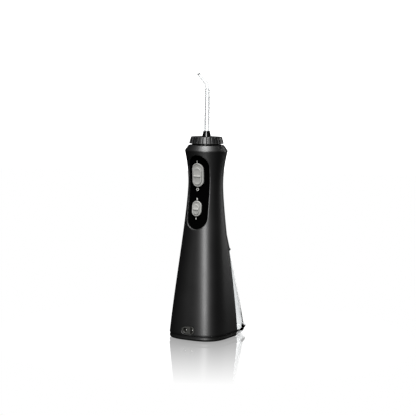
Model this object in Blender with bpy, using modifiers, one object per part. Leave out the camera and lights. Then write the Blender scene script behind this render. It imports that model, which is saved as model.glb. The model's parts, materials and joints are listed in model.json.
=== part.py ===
"""Cordless water flosser: tapered handle, rear tank, turning knob and bent jet tip.

The frame is in metres, +Z up. The origin is on the axis of the tip, on the plane the
flosser stands on. The controls face -Y and the water tank is at the back, on +Y.
"""

import math

import bmesh
import bpy
import numpy as np
from mathutils import Matrix, Vector, geometry

# Gaps and walls
GAP = 0.0003
SLIDE_GAP = 0.0005
WALL = 0.0022
TANK_WALL = 0.0018
OVERCUT = 0.002
CLEAR_OF_CASING = 0.06
BLOCK_HALF_SIDE = 0.08
BLOCK_BACK = 0.12
ABOVE_CAP = 0.16

# Outside of the handle
BASE_HALF_WIDTH = 0.0340
BASE_FRONT = 0.0367
BASE_REAR = 0.0552
NECK_RADIUS = 0.0195
NECK_HEIGHT = 0.173
RIDGE_RADIUS = 0.0240
RIDGE_HEIGHT = 0.2097
SHOULDER_RADIUS = 0.0197
SHOULDER_HEIGHT = 0.2158
BASE_SEAM = 0.0054
BASE_INSET = 0.0006
BASE_EDGE_RADIUS = 0.0025
BASE_SQUARENESS = 3.0
REAR_SQUARENESS = 4.3
HANDLE_SIDES = 48
HANDLE_RINGS = 11

# Tank bay: a leaning flat face that the tank slides up to
BAY_BASE_Y = 0.0186
BAY_TOP_Y = 0.0114
BAY_HEIGHT = 0.1152
CAP_BOTTOM = 0.0973
CAP_BOTTOM_REAR = 0.0308
CAP_SQUARENESS = 2.6
TANK_FOOT = 0.0010
TANK_EDGE = 0.0050
FLANGE_REACH = 0.0046
FLANGE_BOTTOM = 0.0066
FLANGE_TOP = 0.0086
CAP_LIP = 0.0006
CAP_LIP_HEIGHT = 0.0012
CAP_SKIN = 0.0021
CAP_ROOF = 0.0026
DOOR_HALF_WIDTH = 0.0105
DOOR_BOTTOM = 0.0993
DOOR_TOP = 0.1118
DOOR_THICKNESS = 0.0020
DOOR_RECESS = 0.0003
DOOR_LIP = 0.0012
DOOR_LIP_HEIGHT = 0.0010
DOOR_TOP_GAP = 0.0006
HINGE_RADIUS = 0.0005
HINGE_DROP = 0.0017
PIN_REACH = 0.0010
SEAL_THICKNESS = 0.0006
THROAT_GAP = 0.0015
MOUTH_HALF_WIDTH = 0.0075
MOUTH_BOTTOM = 0.1015
MOUTH_TOP = 0.1075
SPOUT_HEIGHT = 0.0130
SPOUT_RADIUS = 0.0030
SPOUT_BORE = 0.0020
SPOUT_REACH = 0.0065
STRAW_RADIUS = 0.0022

# Control panel and its two sliders
PANEL_BOTTOM = 0.1229
PANEL_TOP = 0.2049
PANEL_HALF_WIDTH = 0.0126
PANEL_DEPTH = 0.0014
PANEL_THICKNESS = 0.0018
POWER_BOTTOM = 0.1700
POWER_TOP = 0.1961
POWER_HALF_WIDTH = 0.0070
POWER_TRAVEL = 0.0027
PRESSURE_BOTTOM = 0.1373
PRESSURE_TOP = 0.1545
PRESSURE_HALF_WIDTH = 0.0058
PRESSURE_TRAVEL = 0.0016
BOOT_RIM = 0.0014
BOOT_PROUD = 0.0000
PAD_PROUD = 0.0012
PAD_RIDGE = 0.0012
RIDGE_HALF_HEIGHT = 0.0011
STEM_HALF_WIDTH = 0.0020
STEM_HALF_HEIGHT = 0.0030
STEM_REACH = 0.0006

# Charging port
PORT_HEIGHT = 0.0114
PORT_HALF_WIDTH = 0.0082
PORT_RADIUS = 0.0049
PORT_DEPTH = 0.0080
PORT_RECESS = 0.0004
PIN_RADIUS = 0.0010
PIN_SPACING = 0.0077
PIN_RECESS = 0.0025
PORT_SMALL_SHARE = 0.85
PORT_MARGIN = 0.003
KEYED_SHIFT = 0.0012
ROUND_SOCKET_RADIUS = 0.0024
KEYED_SOCKET_RADIUS = 0.0042

# Knob, tip socket and tip
NECK_STUB_RADIUS = 0.0120
COLLAR_RADIUS = 0.0160
COLLAR_TOP = 0.2169
KNOB_BOTTOM = 0.2172
KNOB_TOP = 0.2249
KNOB_BOTTOM_RADIUS = 0.0195
KNOB_TOP_RADIUS = 0.0174
KNOB_RIBS = 24
KNOB_RIB_DEPTH = 0.0006
KNOB_ROOF = 0.0022
SOCKET_BASE_RADIUS = 0.0049
SOCKET_TOP_RADIUS = 0.0037
SOCKET_TOP = 0.2313
SOCKET_STEM_RADIUS = 0.0062
SOCKET_STEM_BOTTOM = 0.2130
OUTLET_DROP = 0.003
TURN_LIP = 0.001
TIP_INSERT = 0.004
TIP_SHOULDER = 0.0004
TIP_TAPER_STEP = 0.0001
TIP_STEM_RADIUS = 0.0024
TIP_ROOT_RADIUS = 0.0032
TIP_BEND_RADIUS = 0.0027
TIP_END_RADIUS = 0.0016
TIP_BORE = 0.0009
TIP_BEND_HEIGHT = 0.2824
TIP_BEND_RADIUS_OF_TURN = 0.0065
TIP_BEND_ANGLE = math.radians(60)
TIP_REACH = 0.0210
TIP_SIDES = 16

# Tip release button, at the back of the neck
EJECT_HEIGHT = 0.1960
EJECT_HALF_WIDTH = 0.0050
EJECT_HALF_HEIGHT = 0.0070
EJECT_PROUD = 0.0012
EJECT_TRAVEL = 0.0020
EJECT_STEM_RADIUS = 0.0018
EJECT_STEM_LENGTH = 0.0045
SPRING_WIRE = 0.0002
SPRING_TURNS = 3
SPRING_SLACK = 0.0008
GUIDE_THICKNESS = 0.0014
GUIDE_HALF_WIDTH = 0.0060
GUIDE_HALF_HEIGHT = 0.0075

# Drive train
MOTOR_RADIUS = 0.0102
MOTOR_HEIGHT = 0.0380
MOTOR_FRONT = -0.0010
MOTOR_LENGTH = 0.0220
MOTOR_CAP_LENGTH = 0.0030
SHAFT_RADIUS = 0.0010
GEAR_MODULE = 0.00065
GEAR_TEETH = 40
PINION_TEETH = 10
GEAR_Y = 0.0030
GEAR_WIDTH = 0.0030
GEAR_BACKLASH = 0.00012
AXLE_RADIUS = 0.0015
CRANK_RADIUS = 0.0035
CRANK_PIN_RADIUS = 0.0015
CHASSIS_Y = 0.0072
CHASSIS_THICKNESS = 0.0018
CHASSIS_HALF_WIDTH = 0.0120
CHASSIS_BOTTOM = 0.0200
MOUNT_THICKNESS = 0.0014

# Pump
PUMP_Y = 0.0006
PUMP_RADIUS = 0.0063
PUMP_BORE = 0.0045
PUMP_BOTTOM = 0.0780
PUMP_LENGTH = 0.0260
PISTON_LENGTH = 0.0080
PUMP_HEAD_HEIGHT = 0.0110
PUMP_HEAD_HALF_WIDTH = 0.0085
PUMP_HEAD_HALF_DEPTH = 0.0060
VALVE_OFFSET = 0.0042
VALVE_BALL_RADIUS = 0.0014
VALVE_CHAMBER_RADIUS = 0.0020
VALVE_CHAMBER_HEIGHT = 0.0060
HOSE_RADIUS = 0.0020
VALVE_FLOOR = 0.0020
VALVE_PASSAGE = 0.0009
VALVE_BODY_LENGTH = 0.016
VALVE_BODY_DROP = 0.008
PISTON_GROOVE = 0.0012
PISTON_GROOVE_HEIGHT = 0.0016
ROD_HALF_WIDTH = 0.0016
ROD_HALF_DEPTH = 0.0013
ROD_EYE_RADIUS = 0.0030

# Batteries and electronics
CELL_RADIUS = 0.0071
CELL_LENGTH = 0.0500
CELL_X = 0.0080
CELL_Y = -0.0125
CELL_BOTTOM = 0.0530
STRAP_THICKNESS = 0.0008
STRAP_HALF_DEPTH = 0.0030
STRAP_OVERHANG = 0.0040
BOARD_Y = -0.0106
BOARD_THICKNESS = 0.0014
BOARD_HALF_WIDTH = 0.0088
BOARD_BOTTOM = 0.1240
BOARD_TOP = 0.2030
SWITCH_DEPTH = 0.0030
SWITCH_HALF_WIDTH = 0.0045
SWITCH_HALF_HEIGHT = 0.0060
VALVE_BODY_RADIUS = 0.0050

# Base screws
SCREW_RADIUS = 0.0013
SCREW_HEAD_RADIUS = 0.0026
SCREW_HEAD_HEIGHT = 0.0014
SCREW_LENGTH = 0.0090
BOSS_RADIUS = 0.0032
BOSS_HEIGHT = 0.0110
BOSS_RIB_THICKNESS = 0.0016
BOSS_RIB_HEIGHT = 0.0060
HEAD_POCKET = 2.2 * SCREW_HEAD_HEIGHT

COLOURS = {
    "satin_black": ((0.012, 0.012, 0.013, 1.0), 0.42, 0.0),
    "gloss_black": ((0.006, 0.006, 0.006, 1.0), 0.12, 0.0),
    "base_black": ((0.010, 0.010, 0.011, 1.0), 0.50, 0.0),
    "slider_grey": ((0.32, 0.32, 0.31, 1.0), 0.50, 0.0),
    "clear_plastic": ((0.86, 0.88, 0.89, 0.35), 0.08, 0.0),
    "white_plastic": ((0.74, 0.74, 0.72, 1.0), 0.45, 0.0),
    "rubber": ((0.03, 0.03, 0.03, 1.0), 0.75, 0.0),
    "steel": ((0.62, 0.62, 0.60, 1.0), 0.28, 1.0),
    "brass": ((0.66, 0.50, 0.22, 1.0), 0.30, 1.0),
    "cell_wrap": ((0.10, 0.30, 0.16, 1.0), 0.35, 0.0),
    "circuit_green": ((0.03, 0.20, 0.09, 1.0), 0.45, 0.0),
}


# ---------------------------------------------------------------- general helpers


def clear_scene():
    for old in list(bpy.data.objects):
        bpy.data.objects.remove(old, do_unlink=True)


def new_collection(name):
    collection = bpy.data.collections.new(name)
    bpy.context.scene.collection.children.link(collection)
    return collection


def make_material(name):
    colour, roughness, metallic = COLOURS[name]
    material = bpy.data.materials.new(name)
    material.use_nodes = True
    shader = material.node_tree.nodes["Principled BSDF"]
    shader.inputs["Base Color"].default_value = colour
    shader.inputs["Roughness"].default_value = roughness
    shader.inputs["Metallic"].default_value = metallic
    shader.inputs["Alpha"].default_value = colour[3]
    return material


def own_material(name, colour_name):
    material = MATERIALS[colour_name].copy()
    material.name = name + "_" + colour_name
    return material


def place(name, mesh, colour_name, origin=(0.0, 0.0, 0.0)):
    """Put a mesh made in world coordinates into the part, with its origin at a joint."""
    mesh.name = name
    mesh.transform(Matrix.Translation(-Vector(origin)))
    mesh.materials.clear()
    mesh.materials.append(own_material(name, colour_name))
    piece = bpy.data.objects.new(name, mesh)
    piece.location = origin
    PARTS.objects.link(piece)
    mesh.shade_smooth()
    mesh.set_sharp_from_angle(angle=math.radians(35))
    return piece


def place_cutter(name, mesh):
    cutter = bpy.data.objects.new(name, mesh)
    cutter.hide_render = True
    cutter.display_type = "WIRE"
    CUTTERS.objects.link(cutter)
    return cutter


def boolean(piece, cutter, operation):
    modifier = piece.modifiers.new(operation.lower() + "_" + cutter.name, "BOOLEAN")
    modifier.object = cutter
    modifier.operation = operation
    modifier.solver = "EXACT"


def subtract(piece, *cutters):
    for cutter in cutters:
        boolean(piece, cutter, "DIFFERENCE")


def unite(piece, *others):
    for other in others:
        boolean(piece, other, "UNION")


def keep_inside(piece, cutter):
    boolean(piece, cutter, "INTERSECT")


def mesh_from(bm, name):
    bmesh.ops.recalc_face_normals(bm, faces=bm.faces)
    mesh = bpy.data.meshes.new(name)
    bm.to_mesh(mesh)
    bm.free()
    return mesh


AXIS_TURN = {
    "X": Matrix.Rotation(math.radians(90), 4, "Y"),
    "Y": Matrix.Rotation(math.radians(-90), 4, "X"),
    "Z": Matrix.Identity(4),
}


def box_mesh(low, high):
    low = Vector(low)
    high = Vector(high)
    bm = bmesh.new()
    bmesh.ops.create_cube(bm, size=1.0)
    size = high - low
    bmesh.ops.scale(bm, vec=size, verts=bm.verts)
    bmesh.ops.translate(bm, vec=(low + high) / 2, verts=bm.verts)
    return mesh_from(bm, "box")


def cylinder_mesh(start, length, radius, axis="Z", sides=24, end_radius=None):
    """A cylinder or cone from its start point, running up its axis."""
    bm = bmesh.new()
    top = radius if end_radius is None else end_radius
    bmesh.ops.create_cone(
        bm, cap_ends=True, segments=sides, radius1=radius, radius2=top, depth=length
    )
    bmesh.ops.translate(bm, vec=(0.0, 0.0, length / 2), verts=bm.verts)
    bmesh.ops.transform(bm, matrix=AXIS_TURN[axis], verts=bm.verts)
    bmesh.ops.translate(bm, vec=start, verts=bm.verts)
    return mesh_from(bm, "cylinder")


def sphere_mesh(centre, radius):
    bm = bmesh.new()
    bmesh.ops.create_uvsphere(bm, u_segments=12, v_segments=8, radius=radius)
    bmesh.ops.translate(bm, vec=centre, verts=bm.verts)
    return mesh_from(bm, "sphere")


def loft_mesh(rings):
    """Skin a list of closed rings, from the lowest to the highest, and cap both ends."""
    bm = bmesh.new()
    rows = [[bm.verts.new(point) for point in ring] for ring in rings]
    count = len(rows[0])
    for lower, upper in zip(rows, rows[1:]):
        for i in range(count):
            j = (i + 1) % count
            bm.faces.new((lower[i], lower[j], upper[j], upper[i]))
    bm.faces.new(list(reversed(rows[0])))
    bm.faces.new(rows[-1])
    return mesh_from(bm, "loft")


def ring_loft_mesh(outer, inner):
    """Skin a tube with an outer and an inner surface, open at both ends."""
    bm = bmesh.new()
    skins = [[[bm.verts.new(p) for p in ring] for ring in rings] for rings in (outer, inner)]
    count = len(outer[0])
    for rows in skins:
        for lower, upper in zip(rows, rows[1:]):
            for i in range(count):
                j = (i + 1) % count
                bm.faces.new((lower[i], lower[j], upper[j], upper[i]))
    for end in (0, -1):
        for i in range(count):
            j = (i + 1) % count
            bm.faces.new((skins[0][end][i], skins[0][end][j], skins[1][end][j], skins[1][end][i]))
    return mesh_from(bm, "tube")


def turned_piece(name, profile, colour_name, steps=32, origin=(0.0, 0.0, 0.0)):
    """Turn a closed profile of (radius, height) points, up its outer side, with Screw."""
    bm = bmesh.new()
    points = [bm.verts.new((radius, 0.0, height)) for radius, height in reversed(profile)]
    for i, point in enumerate(points):
        bm.edges.new((point, points[(i + 1) % len(points)]))
    mesh = bpy.data.meshes.new(name)
    bm.to_mesh(mesh)
    bm.free()
    piece = place(name, mesh, colour_name, origin)
    screw = piece.modifiers.new("turn", "SCREW")
    screw.steps = steps
    screw.render_steps = steps
    screw.use_merge_vertices = True
    screw.merge_threshold = 0.00001
    return piece


def turned_bar(profile, sides=24):
    """A solid of revolution about the Z axis, from (radius, height) points, bottom to top."""
    bm = bmesh.new()
    rows = []
    for radius, height in profile:
        row = []
        for i in range(sides):
            angle = math.tau * i / sides
            row.append(bm.verts.new((radius * math.cos(angle), radius * math.sin(angle), height)))
        rows.append(row)
    for lower, upper in zip(rows, rows[1:]):
        for i in range(sides):
            j = (i + 1) % sides
            bm.faces.new((lower[i], lower[j], upper[j], upper[i]))
    bm.faces.new(list(reversed(rows[0])))
    bm.faces.new(rows[-1])
    return mesh_from(bm, "turned")


def outline_mesh(points, low, high, axis="Y"):
    """A flat outline of (across, up) points, extruded along an axis."""
    bm = bmesh.new()
    if axis == "Y":
        ring = [bm.verts.new((across, low, up)) for across, up in points]
        move = Vector((0.0, high - low, 0.0))
    else:
        ring = [bm.verts.new((across, up, low)) for across, up in points]
        move = Vector((0.0, 0.0, high - low))
    face = bm.faces.new(ring)
    made = bmesh.ops.extrude_face_region(bm, geom=[face])
    moved = [item for item in made["geom"] if isinstance(item, bmesh.types.BMVert)]
    bmesh.ops.translate(bm, vec=move, verts=moved)
    return mesh_from(bm, "outline")


def stadium(half_width, bottom, top, steps=8):
    """A round-ended slot outline, standing upright on the X axis."""
    points = []
    for i in range(steps + 1):
        angle = math.pi * i / steps
        points.append((half_width * math.cos(angle), top - half_width + half_width * math.sin(angle)))
    for i in range(steps + 1):
        angle = math.pi + math.pi * i / steps
        points.append((half_width * math.cos(angle), bottom + half_width + half_width * math.sin(angle)))
    return points


def hose_piece(name, points, radius, colour_name):
    """A round hose along a smooth curve through hand-chosen points."""
    dense = smooth_route([Vector(point) for point in points], 3)
    curve = bpy.data.curves.new(name, "CURVE")
    curve.dimensions = "3D"
    curve.bevel_depth = radius
    curve.bevel_resolution = 2
    curve.use_fill_caps = True
    spline = curve.splines.new("POLY")
    spline.points.add(len(dense) - 1)
    for point, place_ in zip(spline.points, dense):
        point.co = (place_.x, place_.y, place_.z, 1.0)
    curve.materials.append(own_material(name, colour_name))
    piece = bpy.data.objects.new(name, curve)
    PARTS.objects.link(piece)
    return piece


def smooth_route(points, steps):
    """Catmull-Rom points through a route."""
    route = []
    last = len(points) - 1
    for i in range(last):
        before = points[max(i - 1, 0)]
        start = points[i]
        end = points[i + 1]
        after = points[min(i + 2, last)]
        for step in range(steps):
            t = step / steps
            route.append(
                0.5
                * (
                    2 * start
                    + (end - before) * t
                    + (2 * before - 5 * start + 4 * end - after) * t**2
                    + (3 * start - before - 3 * end + after) * t**3
                )
            )
    route.append(points[-1])
    return route


# ---------------------------------------------------------------- shape of the handle


def profile_samples():
    """Half-width against height: a long taper to the neck, then a flare to the ridge."""
    neck_rise = RIDGE_HEIGHT - NECK_HEIGHT
    taper = geometry.interpolate_bezier(
        Vector((BASE_HALF_WIDTH, 0.0)),
        Vector((BASE_HALF_WIDTH - 0.24 * (BASE_HALF_WIDTH - NECK_RADIUS), 0.347 * NECK_HEIGHT)),
        Vector((NECK_RADIUS, 0.81 * NECK_HEIGHT)),
        Vector((NECK_RADIUS, NECK_HEIGHT)),
        60,
    )
    flare = geometry.interpolate_bezier(
        Vector((NECK_RADIUS, NECK_HEIGHT)),
        Vector((NECK_RADIUS, NECK_HEIGHT + 0.36 * neck_rise)),
        Vector((RIDGE_RADIUS - 0.54 * (RIDGE_RADIUS - NECK_RADIUS), RIDGE_HEIGHT - 0.3 * neck_rise)),
        Vector((RIDGE_RADIUS, RIDGE_HEIGHT)),
        24,
    )
    samples = list(taper) + list(flare)[1:]
    samples.append(Vector((SHOULDER_RADIUS, SHOULDER_HEIGHT)))
    return [point[1] for point in samples], [point[0] for point in samples]


PROFILE_HEIGHTS, PROFILE_WIDTHS = profile_samples()


def half_width(z):
    return float(np.interp(z, PROFILE_HEIGHTS, PROFILE_WIDTHS))


def taper_share(z):
    """1 at the foot, 0 at the neck and above."""
    return max(0.0, 1.0 - max(z, 0.0) / NECK_HEIGHT)


def front_depth(z):
    stretch = BASE_FRONT / BASE_HALF_WIDTH - 1.0
    return half_width(z) * (1.0 + stretch * taper_share(z))


def rear_depth(z):
    if z >= BAY_HEIGHT:
        return front_depth(z)
    heights = [0.0, CAP_BOTTOM, BAY_HEIGHT]
    return float(np.interp(z, heights, [BASE_REAR, CAP_BOTTOM_REAR, front_depth(BAY_HEIGHT)]))


def front_squareness(z):
    return 2.0 + (BASE_SQUARENESS - 2.0) * taper_share(z)


def rear_squareness(z):
    if z >= BAY_HEIGHT:
        return front_squareness(z)
    heights = [0.0, CAP_BOTTOM, BAY_HEIGHT]
    values = [REAR_SQUARENESS, CAP_SQUARENESS, front_squareness(BAY_HEIGHT)]
    return float(np.interp(z, heights, values))


def section(z, grow=0.0, height=None, sides=HANDLE_SIDES):
    """The handle's outline at a height, grown or shrunk by a distance."""
    ring = []
    for i in range(sides):
        angle = math.tau * i / sides
        across = math.cos(angle)
        along = math.sin(angle)
        front = along < 0
        power = 2.0 / (front_squareness(z) if front else rear_squareness(z))
        depth = (front_depth(z) if front else rear_depth(z)) + grow
        x = (half_width(z) + grow) * math.copysign(abs(across) ** power, across)
        y = depth * math.copysign(abs(along) ** power, along)
        ring.append(Vector((x, y, z if height is None else height)))
    return ring


def handle_heights(low, high, rings=HANDLE_RINGS):
    """Even heights, with the bay top, the ridge and the cap's edge kept as rings."""
    heights = list(np.linspace(low, high, rings))
    for fixed in (CAP_BOTTOM, BAY_HEIGHT, RIDGE_HEIGHT):
        if low < fixed < high:
            heights = [z for z in heights if abs(z - fixed) > 0.004]
            heights.append(fixed)
    return sorted(heights)


def handle_solid(low, high, grow=0.0, rings=HANDLE_RINGS, sides=HANDLE_SIDES):
    heights = handle_heights(low, high, rings)
    return loft_mesh([section(z, grow, sides=sides) for z in heights])


def bay_y(z):
    """Where the bay's leaning face is at a height."""
    return BAY_BASE_Y + (BAY_TOP_Y - BAY_BASE_Y) * z / BAY_HEIGHT


def leaning_block(half_side, bottom, top, near, far):
    """A block between two heights whose faces along Y follow two functions of height."""
    bm = bmesh.new()
    rows = []
    for z in (bottom, top):
        corners = [
            (-half_side, near(z), z),
            (half_side, near(z), z),
            (half_side, far(z), z),
            (-half_side, far(z), z),
        ]
        rows.append([bm.verts.new(corner) for corner in corners])
    for i in range(4):
        j = (i + 1) % 4
        bm.faces.new((rows[0][i], rows[0][j], rows[1][j], rows[1][i]))
    bm.faces.new(list(reversed(rows[0])))
    bm.faces.new(rows[1])
    return mesh_from(bm, "block")


def behind_bay(shift, top, bottom=-0.02):
    """A block behind the bay's face, moved by a shift along Y, up to a height."""
    return leaning_block(
        BLOCK_HALF_SIDE, bottom, top, lambda z: bay_y(z) + shift, lambda z: BLOCK_BACK
    )


def front_y(z, x=0.0):
    """Y of the front surface at a height and a distance from the middle."""
    power = front_squareness(z)
    share = 1.0 - (abs(x) / half_width(z)) ** power
    return -front_depth(z) * max(share, 0.0) ** (1.0 / power)


def rear_y(z, x=0.0):
    """Y of the rear surface at a height and a distance from the middle."""
    power = rear_squareness(z)
    share = 1.0 - (abs(x) / half_width(z)) ** power
    return rear_depth(z) * max(share, 0.0) ** (1.0 / power)


def door_face_y(z):
    """The flat door lies just inside the cap's curved back."""
    low = rear_y(DOOR_BOTTOM, DOOR_HALF_WIDTH) - DOOR_RECESS
    high = rear_y(DOOR_TOP, DOOR_HALF_WIDTH) - DOOR_RECESS
    return low + (high - low) * (z - DOOR_BOTTOM) / (DOOR_TOP - DOOR_BOTTOM)


# ---------------------------------------------------------------- casing


def screw_places():
    """Base screws, in bosses that stand just inside the wall."""
    inner = half_width(BASE_SEAM) - WALL
    side = inner - 1.6 * BOSS_RADIUS
    front = -0.35 * BASE_FRONT
    rear = bay_y(BASE_SEAM) - WALL - 0.8 * BOSS_RADIUS
    return [(-side, front), (side, front), (-side, rear), (side, rear)]


def boss_rib(x, y):
    """A web that ties a boss to the wall beside it."""
    wall_x = half_width(BASE_SEAM) - 0.8 * WALL
    low_x, high_x = (x, wall_x) if x > 0 else (-wall_x, x)
    bottom = BASE_SEAM + GAP
    return box_mesh(
        (low_x, y - BOSS_RIB_THICKNESS / 2, bottom),
        (high_x, y + BOSS_RIB_THICKNESS / 2, bottom + BOSS_RIB_HEIGHT),
    )


def make_shell():
    shell = place(
        "handle_shell", handle_solid(BASE_SEAM + GAP, SHOULDER_HEIGHT), "satin_black"
    )
    bay = place_cutter("cut_bay", behind_bay(0.0, BAY_HEIGHT))
    cavity = place_cutter(
        "cut_cavity", handle_solid(BASE_SEAM - OVERCUT, RIDGE_HEIGHT, -WALL)
    )
    bay_wall = place_cutter("cut_bay_wall", behind_bay(-WALL, BAY_HEIGHT + WALL))
    subtract(cavity, bay_wall)
    subtract(shell, bay, cavity)
    for index, (x, y) in enumerate(screw_places()):
        boss = place_cutter(
            "add_boss_%d" % index,
            cylinder_mesh((x, y, BASE_SEAM + GAP), BOSS_HEIGHT, BOSS_RADIUS, sides=16),
        )
        unite(shell, boss, place_cutter("add_boss_rib_%d" % index, boss_rib(x, y)))
        hole = place_cutter(
            "cut_boss_%d" % index,
            cylinder_mesh(
                (x, y, BASE_SEAM - OVERCUT),
                SCREW_LENGTH + OVERCUT + GAP,
                SCREW_RADIUS + GAP,
                sides=16,
            ),
        )
        subtract(shell, hole)
    window = place_cutter(
        "cut_panel_window",
        outline_mesh(
            stadium(PANEL_HALF_WIDTH, PANEL_BOTTOM, PANEL_TOP), -CLEAR_OF_CASING, -0.4 * NECK_RADIUS
        ),
    )
    port = place_cutter(
        "cut_port_window",
        outline_mesh(port_outline(0.0), -CLEAR_OF_CASING, -0.6 * BASE_FRONT),
    )
    eject = place_cutter(
        "cut_eject_window", outline_mesh(eject_outline(SLIDE_GAP), 0.4 * NECK_RADIUS, CLEAR_OF_CASING)
    )
    spout = place_cutter(
        "cut_spout_hole",
        cylinder_mesh(
            (0.0, bay_y(SPOUT_HEIGHT) - 0.012, SPOUT_HEIGHT), 0.02, SPOUT_RADIUS + GAP, "Y"
        ),
    )
    neck = place_cutter(
        "cut_neck_hole",
        cylinder_mesh((0.0, 0.0, RIDGE_HEIGHT - OVERCUT), 0.02, NECK_STUB_RADIUS + GAP, sides=32),
    )
    subtract(shell, window, port, eject, spout, neck)
    return shell


def make_base_cover():
    edge = BASE_EDGE_RADIUS
    rings = []
    for step in range(4):
        angle = math.radians(90) * step / 3
        inset = edge * (1 - math.sin(angle)) + BASE_INSET
        rings.append(section(0.0, -inset, edge * (1 - math.cos(angle))))
    rings.append(section(BASE_SEAM, -BASE_INSET))
    cover = place("base_cover", loft_mesh(rings), "base_black")
    bay = place_cutter("cut_cover_bay", behind_bay(0.0, BAY_HEIGHT))
    tray = place_cutter(
        "cut_cover_tray",
        loft_mesh([section(0.0, -3 * WALL, WALL), section(0.0, -3 * WALL, BASE_SEAM + OVERCUT)]),
    )
    tray_bay = place_cutter("cut_cover_tray_bay", behind_bay(-3 * WALL, BAY_HEIGHT))
    subtract(tray, tray_bay)
    for index, (x, y) in enumerate(screw_places()):
        pillar = place_cutter(
            "keep_pillar_%d" % index,
            cylinder_mesh((x, y, 0.0), 0.02, BOSS_RADIUS + 0.0012, sides=16),
        )
        subtract(tray, pillar)
    subtract(cover, bay, tray)
    for index, (x, y) in enumerate(screw_places()):
        shank = place_cutter(
            "cut_shank_%d" % index,
            cylinder_mesh((x, y, -OVERCUT), 0.02, SCREW_RADIUS + GAP, sides=16),
        )
        head = place_cutter(
            "cut_head_%d" % index,
            cylinder_mesh(
                (x, y, -OVERCUT), OVERCUT + HEAD_POCKET, SCREW_HEAD_RADIUS + GAP, sides=16
            ),
        )
        subtract(cover, shank, head)
    return cover


def make_base_screws():
    """Four identical screws, from pockets in the cover up into the shell's bosses."""
    head_bottom = HEAD_POCKET - GAP - SCREW_HEAD_HEIGHT
    top = BASE_SEAM + GAP + SCREW_LENGTH - 2 * OVERCUT
    profile = [
        (SCREW_HEAD_RADIUS, head_bottom),
        (SCREW_HEAD_RADIUS, head_bottom + SCREW_HEAD_HEIGHT),
        (SCREW_RADIUS, head_bottom + SCREW_HEAD_HEIGHT),
        (SCREW_RADIUS, top),
    ]
    for index, (x, y) in enumerate(screw_places()):
        mesh = turned_bar(profile, 12)
        mesh.transform(Matrix.Translation((x, y, 0.0)))
        place("base_screw_%d" % (index + 1), mesh, "steel")


# ---------------------------------------------------------------- control panel


def slot_cutter(name, half_width_, bottom, top, deep=True):
    inner = -0.2 * NECK_RADIUS if deep else -0.5 * NECK_RADIUS
    return place_cutter(name, outline_mesh(stadium(half_width_, bottom, top), -CLEAR_OF_CASING, inner))


def stem_slot(bottom, top, travel, gap):
    """Clear outline round a slider's stem over its whole travel."""
    middle = (bottom + top) / 2
    low = middle - STEM_HALF_HEIGHT - travel / 2 - gap
    high = middle + STEM_HALF_HEIGHT + travel / 2 + gap
    side = STEM_HALF_WIDTH + gap
    return [(-side, low), (side, low), (side, high), (-side, high)]


def make_panel():
    low = PANEL_BOTTOM - OVERCUT
    high = PANEL_TOP + OVERCUT
    panel = place("control_panel", handle_solid(low, high, -PANEL_DEPTH, 9), "gloss_black")
    inner = place_cutter(
        "cut_panel_back",
        handle_solid(low - OVERCUT, high + OVERCUT, -PANEL_DEPTH - PANEL_THICKNESS, 9),
    )
    outline = slot_cutter(
        "keep_panel", PANEL_HALF_WIDTH - GAP, PANEL_BOTTOM + GAP, PANEL_TOP - GAP
    )
    keep_inside(panel, outline)
    subtract(panel, inner)
    slots = (
        ("power", POWER_BOTTOM, POWER_TOP, POWER_TRAVEL),
        ("pressure", PRESSURE_BOTTOM, PRESSURE_TOP, PRESSURE_TRAVEL),
    )
    for name, bottom, top, travel in slots:
        slot = place_cutter(
            "cut_" + name + "_slot",
            outline_mesh(stem_slot(bottom, top, travel, SLIDE_GAP), -CLEAR_OF_CASING, -0.2 * NECK_RADIUS),
        )
        subtract(panel, slot)
    return panel


def make_boot(name, half_width_, bottom, top):
    """The fixed rim round a slider, standing on the panel."""
    low = bottom - 2 * OVERCUT
    high = top + 2 * OVERCUT
    boot = place(name, handle_solid(low, high, BOOT_PROUD, 5), "slider_grey")
    back = place_cutter(
        "cut_" + name + "_back",
        handle_solid(low - OVERCUT, high + OVERCUT, -PANEL_DEPTH + GAP, 5),
    )
    keep_inside(boot, slot_cutter("keep_" + name, half_width_, bottom, top, False))
    inner = slot_cutter(
        "cut_" + name + "_inner", half_width_ - BOOT_RIM, bottom + BOOT_RIM, top - BOOT_RIM
    )
    subtract(boot, back, inner)
    return boot


def make_slider(name, half_width_, bottom, top, travel, colour_name="slider_grey"):
    """A raised pad with a cross ridge and a stem that passes through the panel."""
    pad_half = half_width_ - BOOT_RIM - SLIDE_GAP
    pad_low = bottom + BOOT_RIM + SLIDE_GAP
    pad_high = top - BOOT_RIM - SLIDE_GAP - travel
    low = pad_low - 2 * OVERCUT
    high = pad_high + 2 * OVERCUT
    slider = place(name, handle_solid(low, high, PAD_PROUD, 5), colour_name)
    back = place_cutter(
        "cut_" + name + "_back",
        handle_solid(low - OVERCUT, high + OVERCUT, -PANEL_DEPTH + 2 * GAP, 5),
    )
    keep_inside(slider, slot_cutter("keep_" + name, pad_half, pad_low, pad_high, False))
    subtract(slider, back)
    middle = (pad_low + pad_high) / 2
    face = front_y(middle)
    ridge = place_cutter(
        "add_" + name + "_ridge",
        box_mesh(
            (-0.9 * pad_half, face - PAD_PROUD - PAD_RIDGE, middle - RIDGE_HALF_HEIGHT),
            (0.9 * pad_half, face - GAP, middle + RIDGE_HALF_HEIGHT),
        ),
    )
    stem_middle = (bottom + top) / 2 - travel / 2
    stem = place_cutter(
        "add_" + name + "_stem",
        box_mesh(
            (-STEM_HALF_WIDTH, face - PAD_PROUD / 2, stem_middle - STEM_HALF_HEIGHT),
            (
                STEM_HALF_WIDTH,
                face + PANEL_DEPTH + PANEL_THICKNESS + STEM_REACH,
                stem_middle + STEM_HALF_HEIGHT,
            ),
        ),
    )
    unite(slider, ridge, stem)
    return slider


# ---------------------------------------------------------------- charging port


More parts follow.
